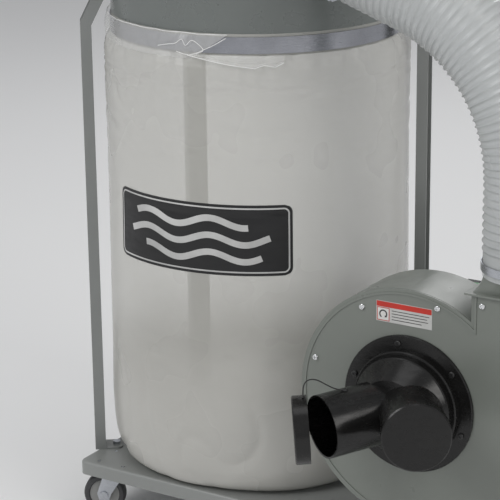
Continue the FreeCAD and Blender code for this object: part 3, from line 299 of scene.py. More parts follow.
def clear_film(name, colour, alpha, roughness, dusty=None):
    """Milky polythene film; below the height dusty, fine dust inside it makes it nearly opaque."""
    f = Finish(name, colour, roughness, 0.0, Alpha=alpha, Specular_IOR_Level=0.6)
    tone = f.cloudy(colour, 2.5, 2, 0.97, 1.03)
    f.rough(f.noise(6, 2), roughness - 0.03, roughness + 0.06)
    f.bump(f.noise(38, 2, f.stretched((1, 1, 3.0))), 0.0007, 0.5)
    f.bump(f.noise(900, 2), 0.00002)
    if dusty is not None:
        split = f.tree.nodes.new("ShaderNodeSeparateXYZ")
        f.join(f.place, split.inputs["Vector"])
        edge = f.maths("ADD", split.outputs["Z"], f.spread(f.noise(4, 2), *MIDDLE_OF_NOISE, -0.03, 0.03))
        thick, clean = dusty - 0.11, dusty + 0.04            # heights between which the dust thins out
        f.join(f.spread(edge, thick, clean, 0.93, alpha), f.shader.inputs["Alpha"])
        tone = f.mixed(f.spread(edge, thick, clean), shade(colour, 0.78), tone)
    f.colour(tone)
    return f.material


def woven(name, colour, thread, depth):
    """Plain weave seen as two crossed sets of threads; thread is their spacing."""
    f = Finish(name, colour, 0.9, 0.0, Sheen_Weight=0.25, Sheen_Roughness=0.5)
    scale = math.pi / 10 / thread                           # a wave texture of scale 1 repeats every pi / 10
    up, left, back = (f.waves(scale, axis, 0.15) for axis in "ZXY")
    weave = f.maths("MAXIMUM", up, f.maths("MULTIPLY", left, back))
    f.colour(f.cloudy(colour, 5, 5, 0.9, 1.05))
    f.bump(f.noise(2200, 2), depth * 0.6)
    f.bump(weave, depth)
    return f.material


# ---- mesh building ------------------------------------------------------------------------------------
def piece(name, verts, faces, material, body="root", smooth=True):
    """One mesh object; body is what it rides on, or None when that is said elsewhere."""
    mesh = bpy.data.meshes.new(name)
    mesh.from_pydata([tuple(v) for v in verts], [], [tuple(int(i) for i in f) for f in faces])
    mesh.polygons.foreach_set("use_smooth", [smooth] * len(mesh.polygons))
    mesh.materials.append(material)
    mesh.update()
    obj = bpy.data.objects.new(name, mesh)
    bpy.context.scene.collection.objects.link(obj)
    if body:
        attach(obj, body)
    return obj


def grid_faces(rows, cols, wrap):
    """Quads of a grid of rows by cols points; wrap closes each row."""
    i, j = np.meshgrid(np.arange(rows - 1), np.arange(cols if wrap else cols - 1), indexing="ij")
    k = (j + 1) % cols
    return np.stack([i * cols + j, i * cols + k, (i + 1) * cols + k, (i + 1) * cols + j], -1).reshape(-1, 4)


def surface(name, points, material, wrap=True):
    """Sheet through an array of points, rows by columns."""
    rows, cols = points.shape[:2]
    return piece(name, points.reshape(-1, 3), grid_faces(rows, cols, wrap), material)


def tube(name, path, radius, material, sides=12, **where):
    """Closed round tube along a list of points."""
    line = [Vector(p) for p in path]
    normal, rings = None, []
    for i, p in enumerate(line):
        along = (line[min(i + 1, len(line) - 1)] - line[max(i - 1, 0)]).normalized()
        if normal is None:
            normal = along.orthogonal().normalized()
        normal = (normal - along * normal.dot(along)).normalized()
        side = along.cross(normal)
        turns = [2 * math.pi * k / sides for k in range(sides)]
        rings.append([p + (normal * math.cos(t) + side * math.sin(t)) * radius for t in turns])
    verts = [v for ring in rings for v in ring]
    faces = grid_faces(len(rings), sides, True).tolist()
    faces += [list(range(sides))[::-1], [len(verts) - sides + k for k in range(sides)]]
    return piece(name, verts, faces, material, **where)


def through(points, count):
    """Smooth line through given points, as count evenly numbered points (Catmull-Rom)."""
    p = np.array(points, float)
    p = np.vstack([2 * p[0] - p[1], p, 2 * p[-1] - p[-2]])
    t = np.linspace(0, len(points) - 1 - 1e-9, count)
    i, f = t.astype(int), (t % 1)[:, None]
    a, b, c, d = p[i], p[i + 1], p[i + 2], p[i + 3]
    square, cube = 2 * a - 5 * b + 4 * c - d, 3 * b - a - 3 * c + d
    return 0.5 * (2 * b + (c - a) * f + square * f ** 2 + cube * f ** 3)


def lumps(x, y, z):
    """Smooth noise at many points, from -1 to 1."""
    return np.array([noise.noise(Vector(p)) for p in zip(x.ravel(), y.ravel(), z.ravel())]).reshape(x.shape)


def ridges(x, y, z, width=0.18):
    """Thin crease lines, 1 on the crease and 0 away from it."""
    return np.clip(1 - np.abs(lumps(x, y, z)) / width, 0, 1) ** 1.5


def bell(x, centre, half):
    """1 at centre, falling smoothly: 0.14 at half, nearly 0 at twice half."""
    return np.exp(-((x - centre) / half) ** 2 * 2)


def turned_from(turn, start):
    """Angle from start to turn, the short way round."""
    return (turn - start + math.pi) % (2 * math.pi) - math.pi


def round_drum(r, turn, height):
    """Points from their radius and angle about the drum's axis and their height."""
    return np.stack([AXIS.x + r * np.cos(turn), AXIS.y + r * np.sin(turn), height], -1)


# ---- cap tether ---------------------------------------------------------------------------------------
# The route from the screw to the left cap's rim, from the drum's axis, as in the CAD source.
TETHER_ROUTE = [(0.3675, -0.3525, 0.3899), (0.3604, -0.3609, 0.3926), (0.3502, -0.3732, 0.4024),
                (0.3406, -0.3852, 0.4132), (0.3314, -0.3974, 0.4152), (0.3266, -0.4046, 0.4046),
                (0.3276, -0.4042, 0.3871)]
TETHER_RADIUS = 0.001
KNOT_SIZE, EYE_SIZE = 0.0021, 0.0019


def spline_points(route):
    """Points of a quadratic B-spline with these poles."""
    curve = bpy.data.curves.new("tether_route", "CURVE")
    curve.dimensions = "3D"
    curve.resolution_u = 12
    spline = curve.splines.new("NURBS")
    spline.points.add(len(route) - 1)
    for point, place in zip(spline.points, route):
        point.co = (*(Vector(place) + AXIS), 1)
    spline.order_u = 3
    spline.use_endpoint_u = True
    line = bpy.data.objects.new("tether_route", curve)
    mesh = bpy.data.meshes.new_from_object(line)
    points = [v.co.copy() for v in mesh.vertices]
    bpy.data.objects.remove(line)
    return points


def make_tether(black):
    """The left cap's cord with a knot at the cap and an eye at the screw."""
    path = spline_points(TETHER_ROUTE)
    cord = tube("tether_cord", path, TETHER_RADIUS, black, 10, body=None)
    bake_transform(cord)
    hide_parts("cap_tether")
    knot = ring_knot("tether_knot", path[-1] + Vector((0, 0, 0.0006)), KNOT_SIZE, black, "cap_left")
    eye = ring_knot("tether_eye", path[0], EYE_SIZE, black, "root")


def ring_knot(name, centre, size, material, body):
    """A small overhand knot."""
    turns = np.linspace(0, 2 * math.pi, 60)
    loop = [centre + Vector((math.sin(t) + 2 * math.sin(2 * t), math.cos(t) - 2 * math.cos(2 * t),
                             -math.sin(3 * t))) * (size / 3) for t in turns]
    knot = tube(name, loop, TETHER_RADIUS * 0.85, material, 8, body=body)
    return knot


# ---- collection bag -----------------------------------------------------------------------------------
FILM_PROFILE = [(NECK, 0.9040), (NECK, 0.8900), (NECK, 0.8735), (0.2545, 0.8680), (0.2605, 0.8560),
                (0.2640, 0.8350), (0.2635, 0.7600), (0.2630, 0.6200), (0.2640, 0.4600), (0.2655, 0.3000),
                (0.2660, 0.1800), (0.2620, 0.1360), (0.2480, 0.1110), (0.2200, 0.1038), (0.1400, 0.1036),
                (0.0600, 0.1036), (0.0100, 0.1036)]
MOUND_TOP = 0.33                                            # dust settled in the bag reaches this height
LAYFLAT_CREASES = (math.radians(14), math.radians(194))     # the film was folded flat along these
WRINKLED_HEIGHTS = ((0.812, 0.030), (0.742, 0.012), (0.695, 0.022), (0.350, 0.012), (0.600, 0.008))
SLANTING_AT = math.radians(-138)                            # middle of the slanting wrinkles, at upper left
SHOULDER = 0.872                                            # from here down the film hangs free of the drum


def bag_relief(turn, z):
    """How far the film stands off its mean shape at this angle and height, in metres."""
    c, s = np.cos(turn), np.sin(turn)
    billow = 0.0022 * lumps(1.4 * c + 7, 1.4 * s, 2.6 * z)
    # the dust's weight makes the lower part bulge and crease
    low = np.clip((MOUND_TOP + 0.03 - z) / 0.2, 0, 1)
    slump = 0.0042 * low * lumps(2.6 * c, 2.6 * s + 3, 6 * z)
    slump -= 0.0030 * low * ridges(1.9 * c + 4, 1.9 * s, 5.0 * z, 0.12)
    # short wrinkles that run round the bag, at a few heights
    fine = sum(bell(z, height, half) for height, half in WRINKLED_HEIGHTS)
    across = -0.0026 * np.clip(fine, 0, 1.2) * ridges(2.2 * c, 2.2 * s, 62 * z, 0.30)
    # gathers that hang down from the band
    neck = np.exp(-np.clip(0.868 - z, 0, 1) / 0.045) * (z < 0.870)
    gathers = 0.0030 * neck * lumps(13 * c, 13 * s, 5 * z) - 0.0030 * neck * ridges(9 * c, 9 * s, 9 * z, 0.25)
    # long slanting wrinkles on one side, and the upright creases
    left = bell(turned_from(turn, SLANTING_AT), 0, 0.55)
    slant = turn * 0.26 * 9 + z * 16
    slanting = -0.0052 * left * bell(z, 0.77, 0.13) * ridges(slant, 2.2 * z - 2 * turn, 0 * z + 1.3, 0.16)
    fold = sum(bell(turned_from(turn, at), 0, 0.010) for at in LAYFLAT_CREASES)
    creases = 0.0026 * fold * (0.7 + 0.6 * lumps(0 * z, 0 * z + 5, 9 * z)) * np.clip((0.86 - z) / 0.05, 0, 1)
    return (billow + slump + across + slanting + creases) * np.clip((SHOULDER - z) / 0.03, 0, 1) + gathers


def film_points(cols, rows):
    """The whole bag as rows of rings, from the neck down and in to the middle of its floor."""
    profile = through(FILM_PROFILE, rows)
    turn = np.linspace(-math.pi, math.pi, cols, endpoint=False)
    turn, r = np.meshgrid(turn, profile[:, 0])
    z = np.repeat(profile[:, 1][:, None], cols, 1)
    off = bag_relief(turn, z) * np.clip(r / 0.24, 0, 1) ** 4          # fades out on the bag's floor
    crown = 0.0016 * np.clip(1 - r / 0.2, 0, 1) * lumps(14 * r * np.cos(turn), 14 * r * np.sin(turn), 0 * z)
    z = np.maximum(z + crown, PLATE_TOP + 0.0002)
    return round_drum(r + off, turn, z)


# The film's loose edge stands outside the band on the left, folds back at its slanting end and falls into
# a hem below the band; routes are (degrees round the drum, height in metres).
FLAP_FROM, FLAP_LOW_END, FLAP_HIGH_END = -262.0, -82.0, -69.0
FLAP_ROOT, FLAP_RADIUS = 0.8625, 0.2605
HEM_TOP, HEM_RADIUS = 0.8705, 0.2585
HEM_ROUTE = [(-83.0, 0.8700), (-78.0, 0.8655), (-72.0, 0.8600), (-65.0, 0.8550), (-59.0, 0.8515),
             (-56.0, 0.8565), (-52.0, 0.8535), (-49.0, 0.8600)]
# The crinkle routes carry near-white tubes: painted highlights on the crinkled film.
CRINKLE_HIGHLIGHTS = {"left": [(-96.0, 0.8790), (-91.5, 0.8835), (-88.5, 0.8860), (-85.8, 0.8935), (-84.3, 0.8840),
                     (-81.5, 0.8930), (-77.5, 0.8790), (-80.2, 0.8715)],
            "fold": [(-69.2, 0.8990), (-73.2, 0.8880), (-76.5, 0.8805), (-80.5, 0.8720), (-84.0, 0.8695),
                     (-88.0, 0.8730)]}
CRINKLE_OUT = 0.2622                                        # the crinkle lines, which are painted highlights, lie just outside the loose edge
BAND_CLEAR = 0.2560                                         # the loose edge never touches the band
HIGHLIGHT_LINE_RADIUS = 0.0007                                        # of the near-white tubes along the film's edges and crinkles, which are painted highlights


def flap_points(cols, rows):
    """The part of the loose edge that stands outside the band."""
    share = np.linspace(0, 1, rows)[:, None]
    end = FLAP_LOW_END + (FLAP_HIGH_END - FLAP_LOW_END) * share
    turn = np.radians(FLAP_FROM + (end - FLAP_FROM) * np.linspace(0, 1, cols)[None, :])
    c, s = np.cos(turn), np.sin(turn)
    fade_in = np.clip((turn - math.radians(FLAP_FROM)) / 0.35, 0, 1)
    rim = BAND_HIGH + 0.0045 * fade_in + 0.0015 * lumps(9 * c, 9 * s, 0 * turn)
    height = FLAP_ROOT + (rim - FLAP_ROOT) * share
    crushed = bell(turn, math.radians(-84), 0.26)
    crease = ridges(8 * c, 8 * s, 34 * height, 0.22)
    r = FLAP_RADIUS + 0.0030 * np.sin(math.pi * share) - 0.0040 * share - 0.0022 * crease * (0.4 + crushed)
    r = np.maximum(r + 0.0030 * crushed * lumps(26 * c, 26 * s, 60 * height), BAND_CLEAR)
    return round_drum(r, turn, height)


def hem_points(cols, rows):
    """The part that has fallen below the band, its folds running along the hem."""
    angles, heights = np.array(HEM_ROUTE).T
    turn = np.linspace(angles[0], angles[-1], cols)
    low = np.interp(turn, angles, heights)[None, :]
    turn = np.radians(turn)[None, :]
    share = np.linspace(0, 1, rows)[:, None]
    height = HEM_TOP + (low - HEM_TOP) * share
    c, s = np.cos(turn) + 0 * share, np.sin(turn) + 0 * share
    folds = 0.0014 * np.sin(14 * share + 2 * lumps(5 * c, 5 * s, 0 * c)) * share
    r = HEM_RADIUS + 0.0085 * share ** 0.7 + folds
    return round_drum(r, turn, height)


def make_collection_bag(film, thin, painted_highlight):
    """The bag with its loose edge, its hem, and near-white tubes along the film's edges and crinkles that are
    painted highlights.
    """
    bag = surface("collection_bag_film", film_points(320, 300), film)
    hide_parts("collection_bag")
    standing, fallen = flap_points(360, 22), hem_points(90, 16)
    pieces = [surface("collection_bag_loose_edge", standing, thin, wrap=False),
              surface("collection_bag_hem", fallen, thin, wrap=False)]
    # Painted highlights: near-white tubes along the loose edge's rim, the hem's edge and the crinkles.
    highlight_lines = {"rim": [Vector(p) for p in standing[-1]], "hem": [Vector(p) for p in fallen[-1]]}
    for name, route in CRINKLE_HIGHLIGHTS.items():
        angles, heights = through(route, 10 * len(route)).T
        highlight_lines[name] = [Vector(p) for p in round_drum(CRINKLE_OUT, np.radians(angles), heights)]
    for name, path in highlight_lines.items():
        pieces.append(tube("collection_bag_painted_highlight_" + name, path, HIGHLIGHT_LINE_RADIUS, painted_highlight, 6))
    return bag


# ---- badge on the bag ---------------------------------------------------------------------------------
BADGE_ANGLE, BADGE_HEIGHT = math.radians(-82.9), 0.5630
BADGE_SIZE, BADGE_CORNER = Vector((0.339, 0.121)), 0.013
BADGE_LIFT = 0.0005
BADGE_LINE, BADGE_LINE_IN, BADGE_STROKE = 0.0026, 0.006, 0.011
# height, left end and right end of each stroke, from the badge's middle
STROKES = ((0.029, -0.118, 0.096), (0.0, -0.132, 0.132), (-0.029, -0.096, 0.118))
STROKE_WAVE, STROKE_SWING = 0.12, 0.0075
RAY_START = 0.4                                             # outside both bags, from the drum's axis


def on_bag(tree, u, v, lift):
    """Point of the film at u metres round from the badge's middle and v metres above it."""
    turn = BADGE_ANGLE + u / FILM_RADIUS
    out = Vector((math.cos(turn), math.sin(turn), 0))
    start = AXIS + Vector((0, 0, BADGE_HEIGHT + v)) + out * RAY_START
    hit = tree.ray_cast(start, -out)[0]
    return hit + out * lift


def rounded_box(size, corner, steps=8):
    """Outline of a rounded rectangle, anticlockwise, and closed."""
    half = size / 2 - Vector((corner, corner))
    line = []
    for k, (sx, sy) in enumerate(((1, 1), (-1, 1), (-1, -1), (1, -1))):
        for i in range(steps + 1):
            t = math.radians(90 * k + 90 * i / steps)
            line.append(Vector((sx * half.x + corner * math.cos(t), sy * half.y + corner * math.sin(t))))
    line.append(line[0])
    return line


def spaced(line, step):
    """The same line with a point at least every step."""
    out = [line[0]]
    for a, b in zip(line, line[1:]):
        count = max(1, math.ceil((b - a).length / step))
        out += [a.lerp(b, (i + 1) / count) for i in range(count)]
    return out


def printed_line(name, tree, line, width, material, lift):
    """A printed stroke that follows the film."""
    verts, closed = [], (line[0] - line[-1]).length < 1e-9
    for i, p in enumerate(line):
        before = line[i - 1] if i else (line[-2] if closed else line[0])
        after = line[i + 1] if i + 1 < len(line) else (line[1] if closed else line[-1])
        along = (after - before).normalized()
        across = Vector((-along.y, along.x)) * width / 2
        verts += [on_bag(tree, *(p + across * k), lift) for k in (1, 0, -1)]
    faces = grid_faces(len(line), 3, False)
    return piece(name, verts, faces, material)


def make_badge(bag, ink, light):
    """A plain dark panel with a light inner outline and three blown-air strokes."""
    tree = BVHTree.FromObject(bag, bpy.context.evaluated_depsgraph_get())
    rows, cols = 40, 110
    verts = []
    for v in np.linspace(-BADGE_SIZE.y / 2, BADGE_SIZE.y / 2, rows):
        into = max(0.0, abs(v) - (BADGE_SIZE.y / 2 - BADGE_CORNER))
        half = BADGE_SIZE.x / 2 - BADGE_CORNER + math.sqrt(max(0.0, BADGE_CORNER ** 2 - into ** 2))
        verts += [on_bag(tree, u, v, BADGE_LIFT) for u in np.linspace(-half, half, cols)]
    pieces = [piece("badge_panel", verts, grid_faces(rows, cols, False), ink)]
    inner = BADGE_SIZE - Vector((2 * BADGE_LINE_IN, 2 * BADGE_LINE_IN))
    outline = spaced(rounded_box(inner, BADGE_CORNER - 0.004), 0.005)
    pieces.append(printed_line("badge_outline", tree, outline, BADGE_LINE, light, 2 * BADGE_LIFT))
    for k, (rise, left, right) in enumerate(STROKES):
        stroke = [Vector((x, rise + STROKE_SWING * math.sin(2 * math.pi * x / STROKE_WAVE)))
                  for x in np.linspace(left, right, 80)]
        pieces.append(printed_line(f"badge_stroke_{k + 1}", tree, stroke, BADGE_STROKE, light, 2 * BADGE_LIFT))


# ---- filter bag ---------------------------------------------------------------------------------------
CLOTH_PROFILE = [(NECK, UPPER_LOW - 0.012), (NECK, UPPER_LOW + 0.012), (NECK, UPPER_HIGH - 0.001),
                 (0.2530, UPPER_HIGH + 0.012), (0.2555, 1.2500), (0.2565, 1.3800), (0.2560, 1.5600),
                 (0.2565, 1.7400), (0.2560, 1.8300), (0.2520, 1.8800), (0.2400, 1.9080), (0.2150, 1.9190),
                 (0.1400, 1.9260), (0.0500, 1.9290), (0.0100, 1.9290)]
PIPING_HEIGHT, PIPING_RADIUS = 1.893, 0.0028
CROWN_SEAM, SEAM_TOP, STITCH_TOP = 1.8855, 1.885, 1.882
SEAM_TURN, SEAM_HALF = math.radians(118), 0.007
STITCH_GAP, CROWN_GAP = 0.0075, 0.0085                      # from one stitch to the next
STITCH_STEPS = (0, 0.0025, 0.005)                           # the three points of a stitch, along it


def cloth_relief(turn, z):
    """How far the cloth stands off its mean shape at this angle and height, in metres."""
    c, s = np.cos(turn), np.sin(turn)
    near_band = np.exp(-np.clip(z - UPPER_HIGH, 0, 1) / 0.09)
    near_top = np.exp(-np.clip(1.90 - z, 0, 1) / 0.10)
    tucks = 0.0042 * near_band * lumps(8 * c, 8 * s, 2.5 * z)
    tucks += 0.0050 * near_top * lumps(6 * c, 6 * s + 5, 3 * z)
    billow = 0.0040 * lumps(1.5 * c, 1.5 * s, 2.2 * z)
    drapes = 0.0022 * lumps(3.4 * c + 2, 3.4 * s, 1.1 * z)
    sag = -0.0030 * ridges(1.8 * c, 1.8 * s + 2, 9 * z, 0.12) * (0.3 + near_band + near_top)
    return (tucks + billow + drapes + sag) * np.clip((z - UPPER_HIGH) / 0.02, 0, 1)


def cloth_points(cols, rows):
    """The whole bag as rows of rings, from under its band up and in to the middle of its crown."""
    profile = through(CLOTH_PROFILE, rows)
    turn = np.linspace(-math.pi, math.pi, cols, endpoint=False)
    turn, r = np.meshgrid(turn, profile[:, 0])
    z = np.repeat(profile[:, 1][:, None], cols, 1)
    r = r + cloth_relief(turn, z) * np.clip(r / 0.24, 0, 1) ** 3
    dome = 0.004 * np.clip(1 - r / 0.22, 0, 1) * lumps(9 * r * np.cos(turn), 9 * r * np.sin(turn), 0 * z)
    return round_drum(r, turn, z + dome)


def make_filter_bag(cloth, tape, thread):
    """The cloth bag with its piping, side seam, stitches and hanging loop."""
    bag = surface("filter_bag_cloth", cloth_points(300, 260), cloth)
    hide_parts("filter_bag")
    tree = BVHTree.FromObject(bag, bpy.context.evaluated_depsgraph_get())

    def skin(turn, z, lift):
        out = Vector((math.cos(turn), math.sin(turn), 0))
        level = AXIS + Vector((0, 0, z))
        hit = tree.ray_cast(level + out * RAY_START, -out)[0]
        return (hit or level + out * NECK) + out * lift

    turns = [2 * math.pi * k / 220 for k in range(220)]
    piping = [skin(t, PIPING_HEIGHT, 0.0012) for t in turns]
    seam = tube("filter_bag_piping", piping + piping[:1], PIPING_RADIUS, tape, 8)
    rows = []
    for z in np.linspace(UPPER_HIGH + 0.004, SEAM_TOP, 240):
        rows.append([skin(SEAM_TURN + u / CLOTH_RADIUS, z, lift) for u, lift in
                     ((-SEAM_HALF, 0.0002), (-SEAM_HALF, 0.0016), (SEAM_HALF, 0.0016), (SEAM_HALF, 0.0002))])
    strip = surface("filter_bag_side_seam", np.array(rows), tape, wrap=False)
    stitches = []
    for z in np.arange(UPPER_HIGH + 0.008, STITCH_TOP, STITCH_GAP):
        for u in (-0.0045, 0.0045):
            stitches.append([skin(SEAM_TURN + u / CLOTH_RADIUS, z + d, 0.0018) for d in STITCH_STEPS])
    for t in np.arange(0, 2 * math.pi, CROWN_GAP / CLOTH_RADIUS):
        stitches.append([skin(t + d / CLOTH_RADIUS, CROWN_SEAM, 0.0005) for d in STITCH_STEPS])
    sewing = short_threads("filter_bag_stitches", stitches, 0.0005, thread)
    loop = make_hanging_loop(tape)


def short_threads(name, lines, radius, material):
    """Many short stitches as one piece; each is a thin four-sided thread."""
    verts, faces = [], []
    for line in lines:
        first = len(verts)
        for i, p in enumerate(line):
            along = (line[min(i + 1, 2)] - line[max(i - 1, 0)]).normalized()
            out = ((p - AXIS) * Vector((1, 1, 0))).normalized()
            side = along.cross(out)
            thick = radius * (1 if i == 1 else 0.6)
            verts += [p + out * thick, p + side * thick, p - out * thick, p - side * thick]
        for near in (first, first + 4):
            faces += [[near + k, near + (k + 1) % 4, near + 4 + (k + 1) % 4, near + 4 + k] for k in range(4)]
        faces += [[first + 3, first + 2, first + 1, first], [first + 8, first + 9, first + 10, first + 11]]
    return piece(name, verts, faces, material)


def make_hanging_loop(tape):
    """Webbing loop sewn to the bag's crown."""
    inner, thick, half_wide, straight = 0.0120, 0.0018, 0.0060, 0.0190
    line = [(-inner - 0.006, -0.001), (-inner - 0.001, 0.0006), (-inner, 0.006), (-inner, straight)]
    line += [(-inner * math.cos(math.radians(a)), straight + inner * math.sin(math.radians(a)))
             for a in range(15, 180, 15)]
    line += [(inner, straight), (inner, 0.006), (inner + 0.001, 0.0006), (inner + 0.006, -0.001)]
    path = through(line, 60)
    verts = []
    for i, p in enumerate(path):
        along = path[min(i + 1, len(path) - 1)] - path[max(i - 1, 0)]
        out = np.array([-along[1], along[0]]) / max(np.linalg.norm(along), 1e-9)
        for lift, side in ((0, -half_wide), (thick, -half_wide), (thick, half_wide), (0, half_wide)):
            q = p + out * lift
            verts.append((AXIS.x + q[0], AXIS.y + side, CLOTH_TOP + q[1]))
    faces = grid_faces(len(path), 4, True).tolist()
    faces += [[3, 2, 1, 0], [len(verts) - 4 + k for k in range(4)]]
    return piece("filter_bag_loop", verts, faces, tape, smooth=False)


# ---- flexible hose ------------------------------------------------------------------------------------
HOSE_INNER, HOSE_PITCH, HOSE_RIB = 0.0650, 0.0125, 0.0028
HOSE_BEND, STUB_TILT = 0.300, math.radians(20)
HOSE_CUFF = 0.034                                           # smooth ends under the clamps
HOSE_WIRE, WIRE_STEPS = 0.0009, 40                          # the wire's radius, and its points in a turn


def hose_line(step):
    """Centre line: up from the blower's collar, round the bend and down to the drum's stub."""
    collar_low, collar_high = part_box("outlet_collar")
    foot = (collar_low + collar_high) / 2
    foot.z = collar_high.z - HOSE_CUFF
    left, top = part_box("flex_hose")[0].x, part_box("flex_hose")[1].z
    along = Vector((-math.cos(STUB_TILT), 0, math.sin(STUB_TILT)))
    across = Vector((math.sin(STUB_TILT), 0, math.cos(STUB_TILT)))
    outer = HOSE_INNER + HOSE_RIB
    finish = Vector((left + outer * across.x, foot.y, top - outer * across.z))
    turn = math.pi / 2 - STUB_TILT
    corner = Vector((foot.x, foot.y, finish.z - (foot.x - finish.x) * math.tan(STUB_TILT)))
    reach = HOSE_BEND * math.tan(turn / 2)
    enter = corner - Vector((0, 0, reach))
    leave = corner + along * reach
    centre = enter + Vector((-HOSE_BEND, 0, 0))
    line = [foot.lerp(enter, t) for t in np.arange(0, 1, step / (enter - foot).length)]
    line += [centre + Vector((math.cos(a), 0, math.sin(a))) * HOSE_BEND
             for a in np.arange(0, turn, step / HOSE_BEND)]
    line += [leave.lerp(finish, t) for t in np.linspace(0, 1, int((finish - leave).length / step))]
    return line


def make_hose(plastic, wire):
    """The wall with its ribs running round it as one screw thread, and the wire in it."""
    step, sides = 0.0016, 72
    wall, wire_at = HOSE_INNER + 0.0012, HOSE_INNER + HOSE_WIRE
    line = hose_line(step)
    run = np.concatenate([[0], np.cumsum([(b - a).length for a, b in zip(line, line[1:])])])
    rings, helix = [], []
    for i, p in enumerate(line):
        along = (line[min(i + 1, len(line) - 1)] - line[max(i - 1, 0)]).normalized()
        front = Vector((0, -1, 0))
        side = along.cross(front).normalized()
        from_end = min(run[i], run[-1] - run[i])
        ribbed = min(1.0, max(0.0, (from_end - HOSE_CUFF) / 0.01))
        ring = []
        for k in range(sides):
            t = 2 * math.pi * k / sides
            phase = (run[i] / HOSE_PITCH - k / sides) % 1
            rib = math.exp(-((phase - 0.5) / 0.17) ** 2) - 0.22
            ring.append(p + (front * math.cos(t) + side * math.sin(t)) * (wall + HOSE_RIB * rib * ribbed))
        rings.append(ring)
        if ribbed > 0.5:
            helix.append((run[i], p, front, side))
    hose = surface("flex_hose_wall", np.array([[tuple(v) for v in r] for r in rings]), plastic)
    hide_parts("flex_hose")
    spiral = []
    stations = np.array([h[0] for h in helix])
    total = (stations[-1] - stations[0]) / HOSE_PITCH
    for n in range(int(total * WIRE_STEPS)):
        s = stations[0] + HOSE_PITCH * n / WIRE_STEPS
        i = min(len(helix) - 1, int(np.searchsorted(stations, s)))
        p, front, side = helix[i][1:]
        t = 2 * math.pi * (s / HOSE_PITCH - 0.5)
        spiral.append(p + (front * math.cos(t) + side * math.sin(t)) * wire_at)
    coil = tube("flex_hose_wire", spiral, HOSE_WIRE, wire, 6)


# ---- label on the blower ------------------------------------------------------------------------------
TILE_FROM, TILE_TO, TILE_EDGE = 0.0015, 0.0235, 0.0012      # the square at the label's left
ARROW_OUT, ARROW_IN, ARROW_TIP = 0.0072, 0.0050, math.radians(-30)
BAR_LEFT, BAR_SHARES = 0.0275, (1.0, 0.94, 0.97, 0.80)      # the bars at its right, from the top down


def flat_patch(name, points, y, material):
    """Flat printed shape on the label, from its outline in x and z."""
    verts = [(x, y, z) for x, z in points]
    return piece(name, verts, [list(range(len(verts)))], material, smooth=False)


def make_label(red, black, white):
    """A red header, a tile with a turn arrow for the fan's direction, and bars in place of text."""
    low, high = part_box("label_plate")
    face = low.y - 0.0002

    def box(x0, x1, z0, z1):
        return [(low.x + x, low.z + z) for x, z in ((x0, z0), (x1, z0), (x1, z1), (x0, z1))]

    wide, tall = high.x - low.x, high.z - low.z
    parts = [flat_patch("label_header", box(0.0006, wide - 0.0006, tall - 0.0095, tall - 0.0006), face, red),
             flat_patch("label_tile_edge", box(TILE_FROM, TILE_TO, TILE_FROM, TILE_TO), face, red),
             flat_patch("label_tile", box(TILE_FROM + TILE_EDGE, TILE_TO - TILE_EDGE,
                                          TILE_FROM + TILE_EDGE, TILE_TO - TILE_EDGE), face - 0.0001, white)]

    def round_tile(r, a):
        middle = (TILE_FROM + TILE_TO) / 2
        return low.x + middle + r * math.cos(a), low.z + middle + r * math.sin(a)

    arc = [math.radians(a) for a in range(-30, 241, 10)]
    ring = [round_tile(ARROW_OUT, a) for a in arc] + [round_tile(ARROW_IN, a) for a in arc[::-1]]
    parts.append(flat_patch("label_turn_arrow", ring, face - 0.0002, black))
    head = [round_tile(r, ARROW_TIP + d) for r, d in ((0.0086, 0), (0.0036, 0), (0.0061, -0.6))]
    parts.append(flat_patch("label_arrow_head", head, face - 0.0002, black))
    for k, share in enumerate(BAR_SHARES):
        z = 0.0205 - 0.0048 * k
        bar = box(BAR_LEFT, BAR_LEFT + (wide - 0.032) * share, z - 0.0011, z)
        parts.append(flat_patch(f"label_bar_{k + 1}", bar, face, black))


# ---- carried-over pieces ------------------------------------------------------------------------------
def dress(names, material):
    """Give the named pieces this material."""
    for name in names:
        mesh = cad[name].data
        mesh.materials.clear()
        mesh.materials.append(material)


def wheel_finish(node):
    """Grey rubber tread on a paler plastic hub, told apart by the distance from the axle's middle."""
    centre = middle_of(node)
    colour = (0.045, 0.045, 0.047)
    f = Finish(node + "_rubber", colour, 0.6)
    away = f.tree.nodes.new("ShaderNodeVectorMath")
    away.operation = "DISTANCE"
    away.inputs[1].default_value = centre
    f.join(f.place, away.inputs[0])
    tread = f.spread(away.outputs["Value"], 0.0278, 0.0282)          # the hub ends 28 mm from the middle
    scuffed = f.mixed(f.noise(70, 5), shade(colour, 0.7), shade(colour, 2.0))
    f.colour(f.mixed(tread, (0.30, 0.30, 0.29), scuffed))
    f.bump(f.noise(600, 3), 0.0001)
    return f.material


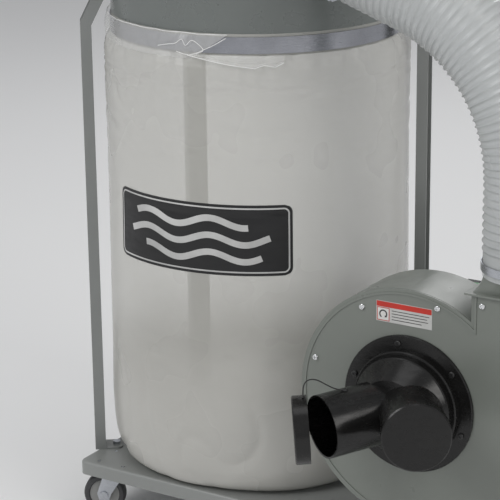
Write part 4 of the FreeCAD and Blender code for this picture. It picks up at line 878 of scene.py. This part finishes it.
def dress_cad():
    silver = paint("drum_enamel", (0.200, 0.216, 0.208), 0.28, 0.3)
    legs = paint("leg_enamel", (0.270, 0.280, 0.272), 0.36, 0.15)
    green_grey = paint("blower_enamel", (0.215, 0.232, 0.208), 0.33)
    dark = paint("motor_enamel", (0.060, 0.064, 0.064), 0.4)
    black = moulded("black_plastic", (0.009, 0.0088, 0.0085), 0.23, shine=0.42)
    zinc = galvanised("zinc_plate", (0.58, 0.60, 0.64), 0.30)
    band = galvanised("band_steel", (0.44, 0.45, 0.49), 0.22)
    dress(["drum", "drum_inlet_stub", "drum_cone"], silver)
    dress(["base_plate", "motor_bracket"], paint("base_enamel", (0.300, 0.310, 0.300), 0.36, 0.1))
    dress(["leg_front_left", "leg_rear_left", "leg_right"], legs)
    dress(["blower_housing", "blower_cover", "outlet_collar"], green_grey)
    dress(["motor_frame", "motor_front_bell", "motor_rear_bell", "fan_cover", "capacitor_cover"], dark)
    dress(["inlet_fitting", "port_cap_left", "port_cap_right", "switch_box", "cord_gland", "cooling_fan"],
          black)
    dress(["switch_rocker"], moulded("switch_green", (0.02, 0.22, 0.06), 0.28))
    dress(["lower_band", "upper_band", "lower_band_lever", "upper_band_lever"], band)
    dress(["leg_foot_bolts", "leg_top_bolts", "caster_plates", "caster_bolts", "hanger_rod", "hanger_clamps",
           "bracket_bolts", "housing_bolts", "hose_clamp_lower", "hose_clamp_upper", "impeller_bolt"], zinc)
    corners = ("front_left", "rear_left", "front_right", "rear_right")
    dress(["caster_fork_" + c for c in corners], zinc)
    for c in corners:
        dress(["caster_wheel_" + c], wheel_finish("caster_wheel_" + c))
    dress(["cover_screws"], chrome("bright_screws"))
    dress(["flange_screws", "tether_screw"], paint("black_screws", (0.05, 0.05, 0.05), 0.3, 0.6))
    dress(["rotor_shaft", "bearing_front", "bearing_rear"],
          galvanised("turned_steel", (0.55, 0.55, 0.56), 0.25))
    dress(["stator"], wound_copper("stator_windings"))
    dress(["impeller"], cast_metal("cast_aluminium", (0.60, 0.61, 0.62)))
    dress(["cover_gasket"], rubber("gasket_foam", (0.03, 0.03, 0.03)))
    dress(["label_plate"], moulded("label_white", (0.62, 0.62, 0.60), 0.3))


make_camera()
cord_black = woven("braided_cord", (0.02, 0.02, 0.02), 0.0008, 0.0002)
make_tether(cord_black)
make_stage()
dress_cad()
film = clear_film("milky_film", (0.72, 0.71, 0.665), 0.52, 0.27, MOUND_TOP)
thin_film = clear_film("thin_film", (0.85, 0.85, 0.83), 0.34, 0.16)
# Near-white film for the tubes along the bag's edges and crinkles: painted highlights.
film_edge_painted_highlight = clear_film("film_edge_painted_highlight", (0.97, 0.97, 0.96), 0.85, 0.2)
bag = make_collection_bag(film, thin_film, film_edge_painted_highlight)
make_badge(bag, moulded("badge_ink", (0.012, 0.012, 0.013), 0.4),
           moulded("badge_light", (0.58, 0.58, 0.57), 0.4))
filter_cloth = woven("filter_felt", (0.66, 0.63, 0.55), 0.0011, 0.00025)
make_filter_bag(filter_cloth, woven("seam_tape", (0.55, 0.52, 0.45), 0.0009, 0.0003),
                woven("sewing_thread", (0.72, 0.69, 0.60), 0.0004, 0.0001))
hose_film = clear_film("hose_plastic", (0.62, 0.64, 0.64), 0.78, 0.24)
make_hose(hose_film, galvanised("hose_wire", (0.5, 0.5, 0.5), 0.3))
make_label(moulded("label_red", (0.60, 0.035, 0.02), 0.35), moulded("label_black", (0.03, 0.03, 0.03), 0.4),
           moulded("label_tile", (0.8, 0.79, 0.76), 0.35))
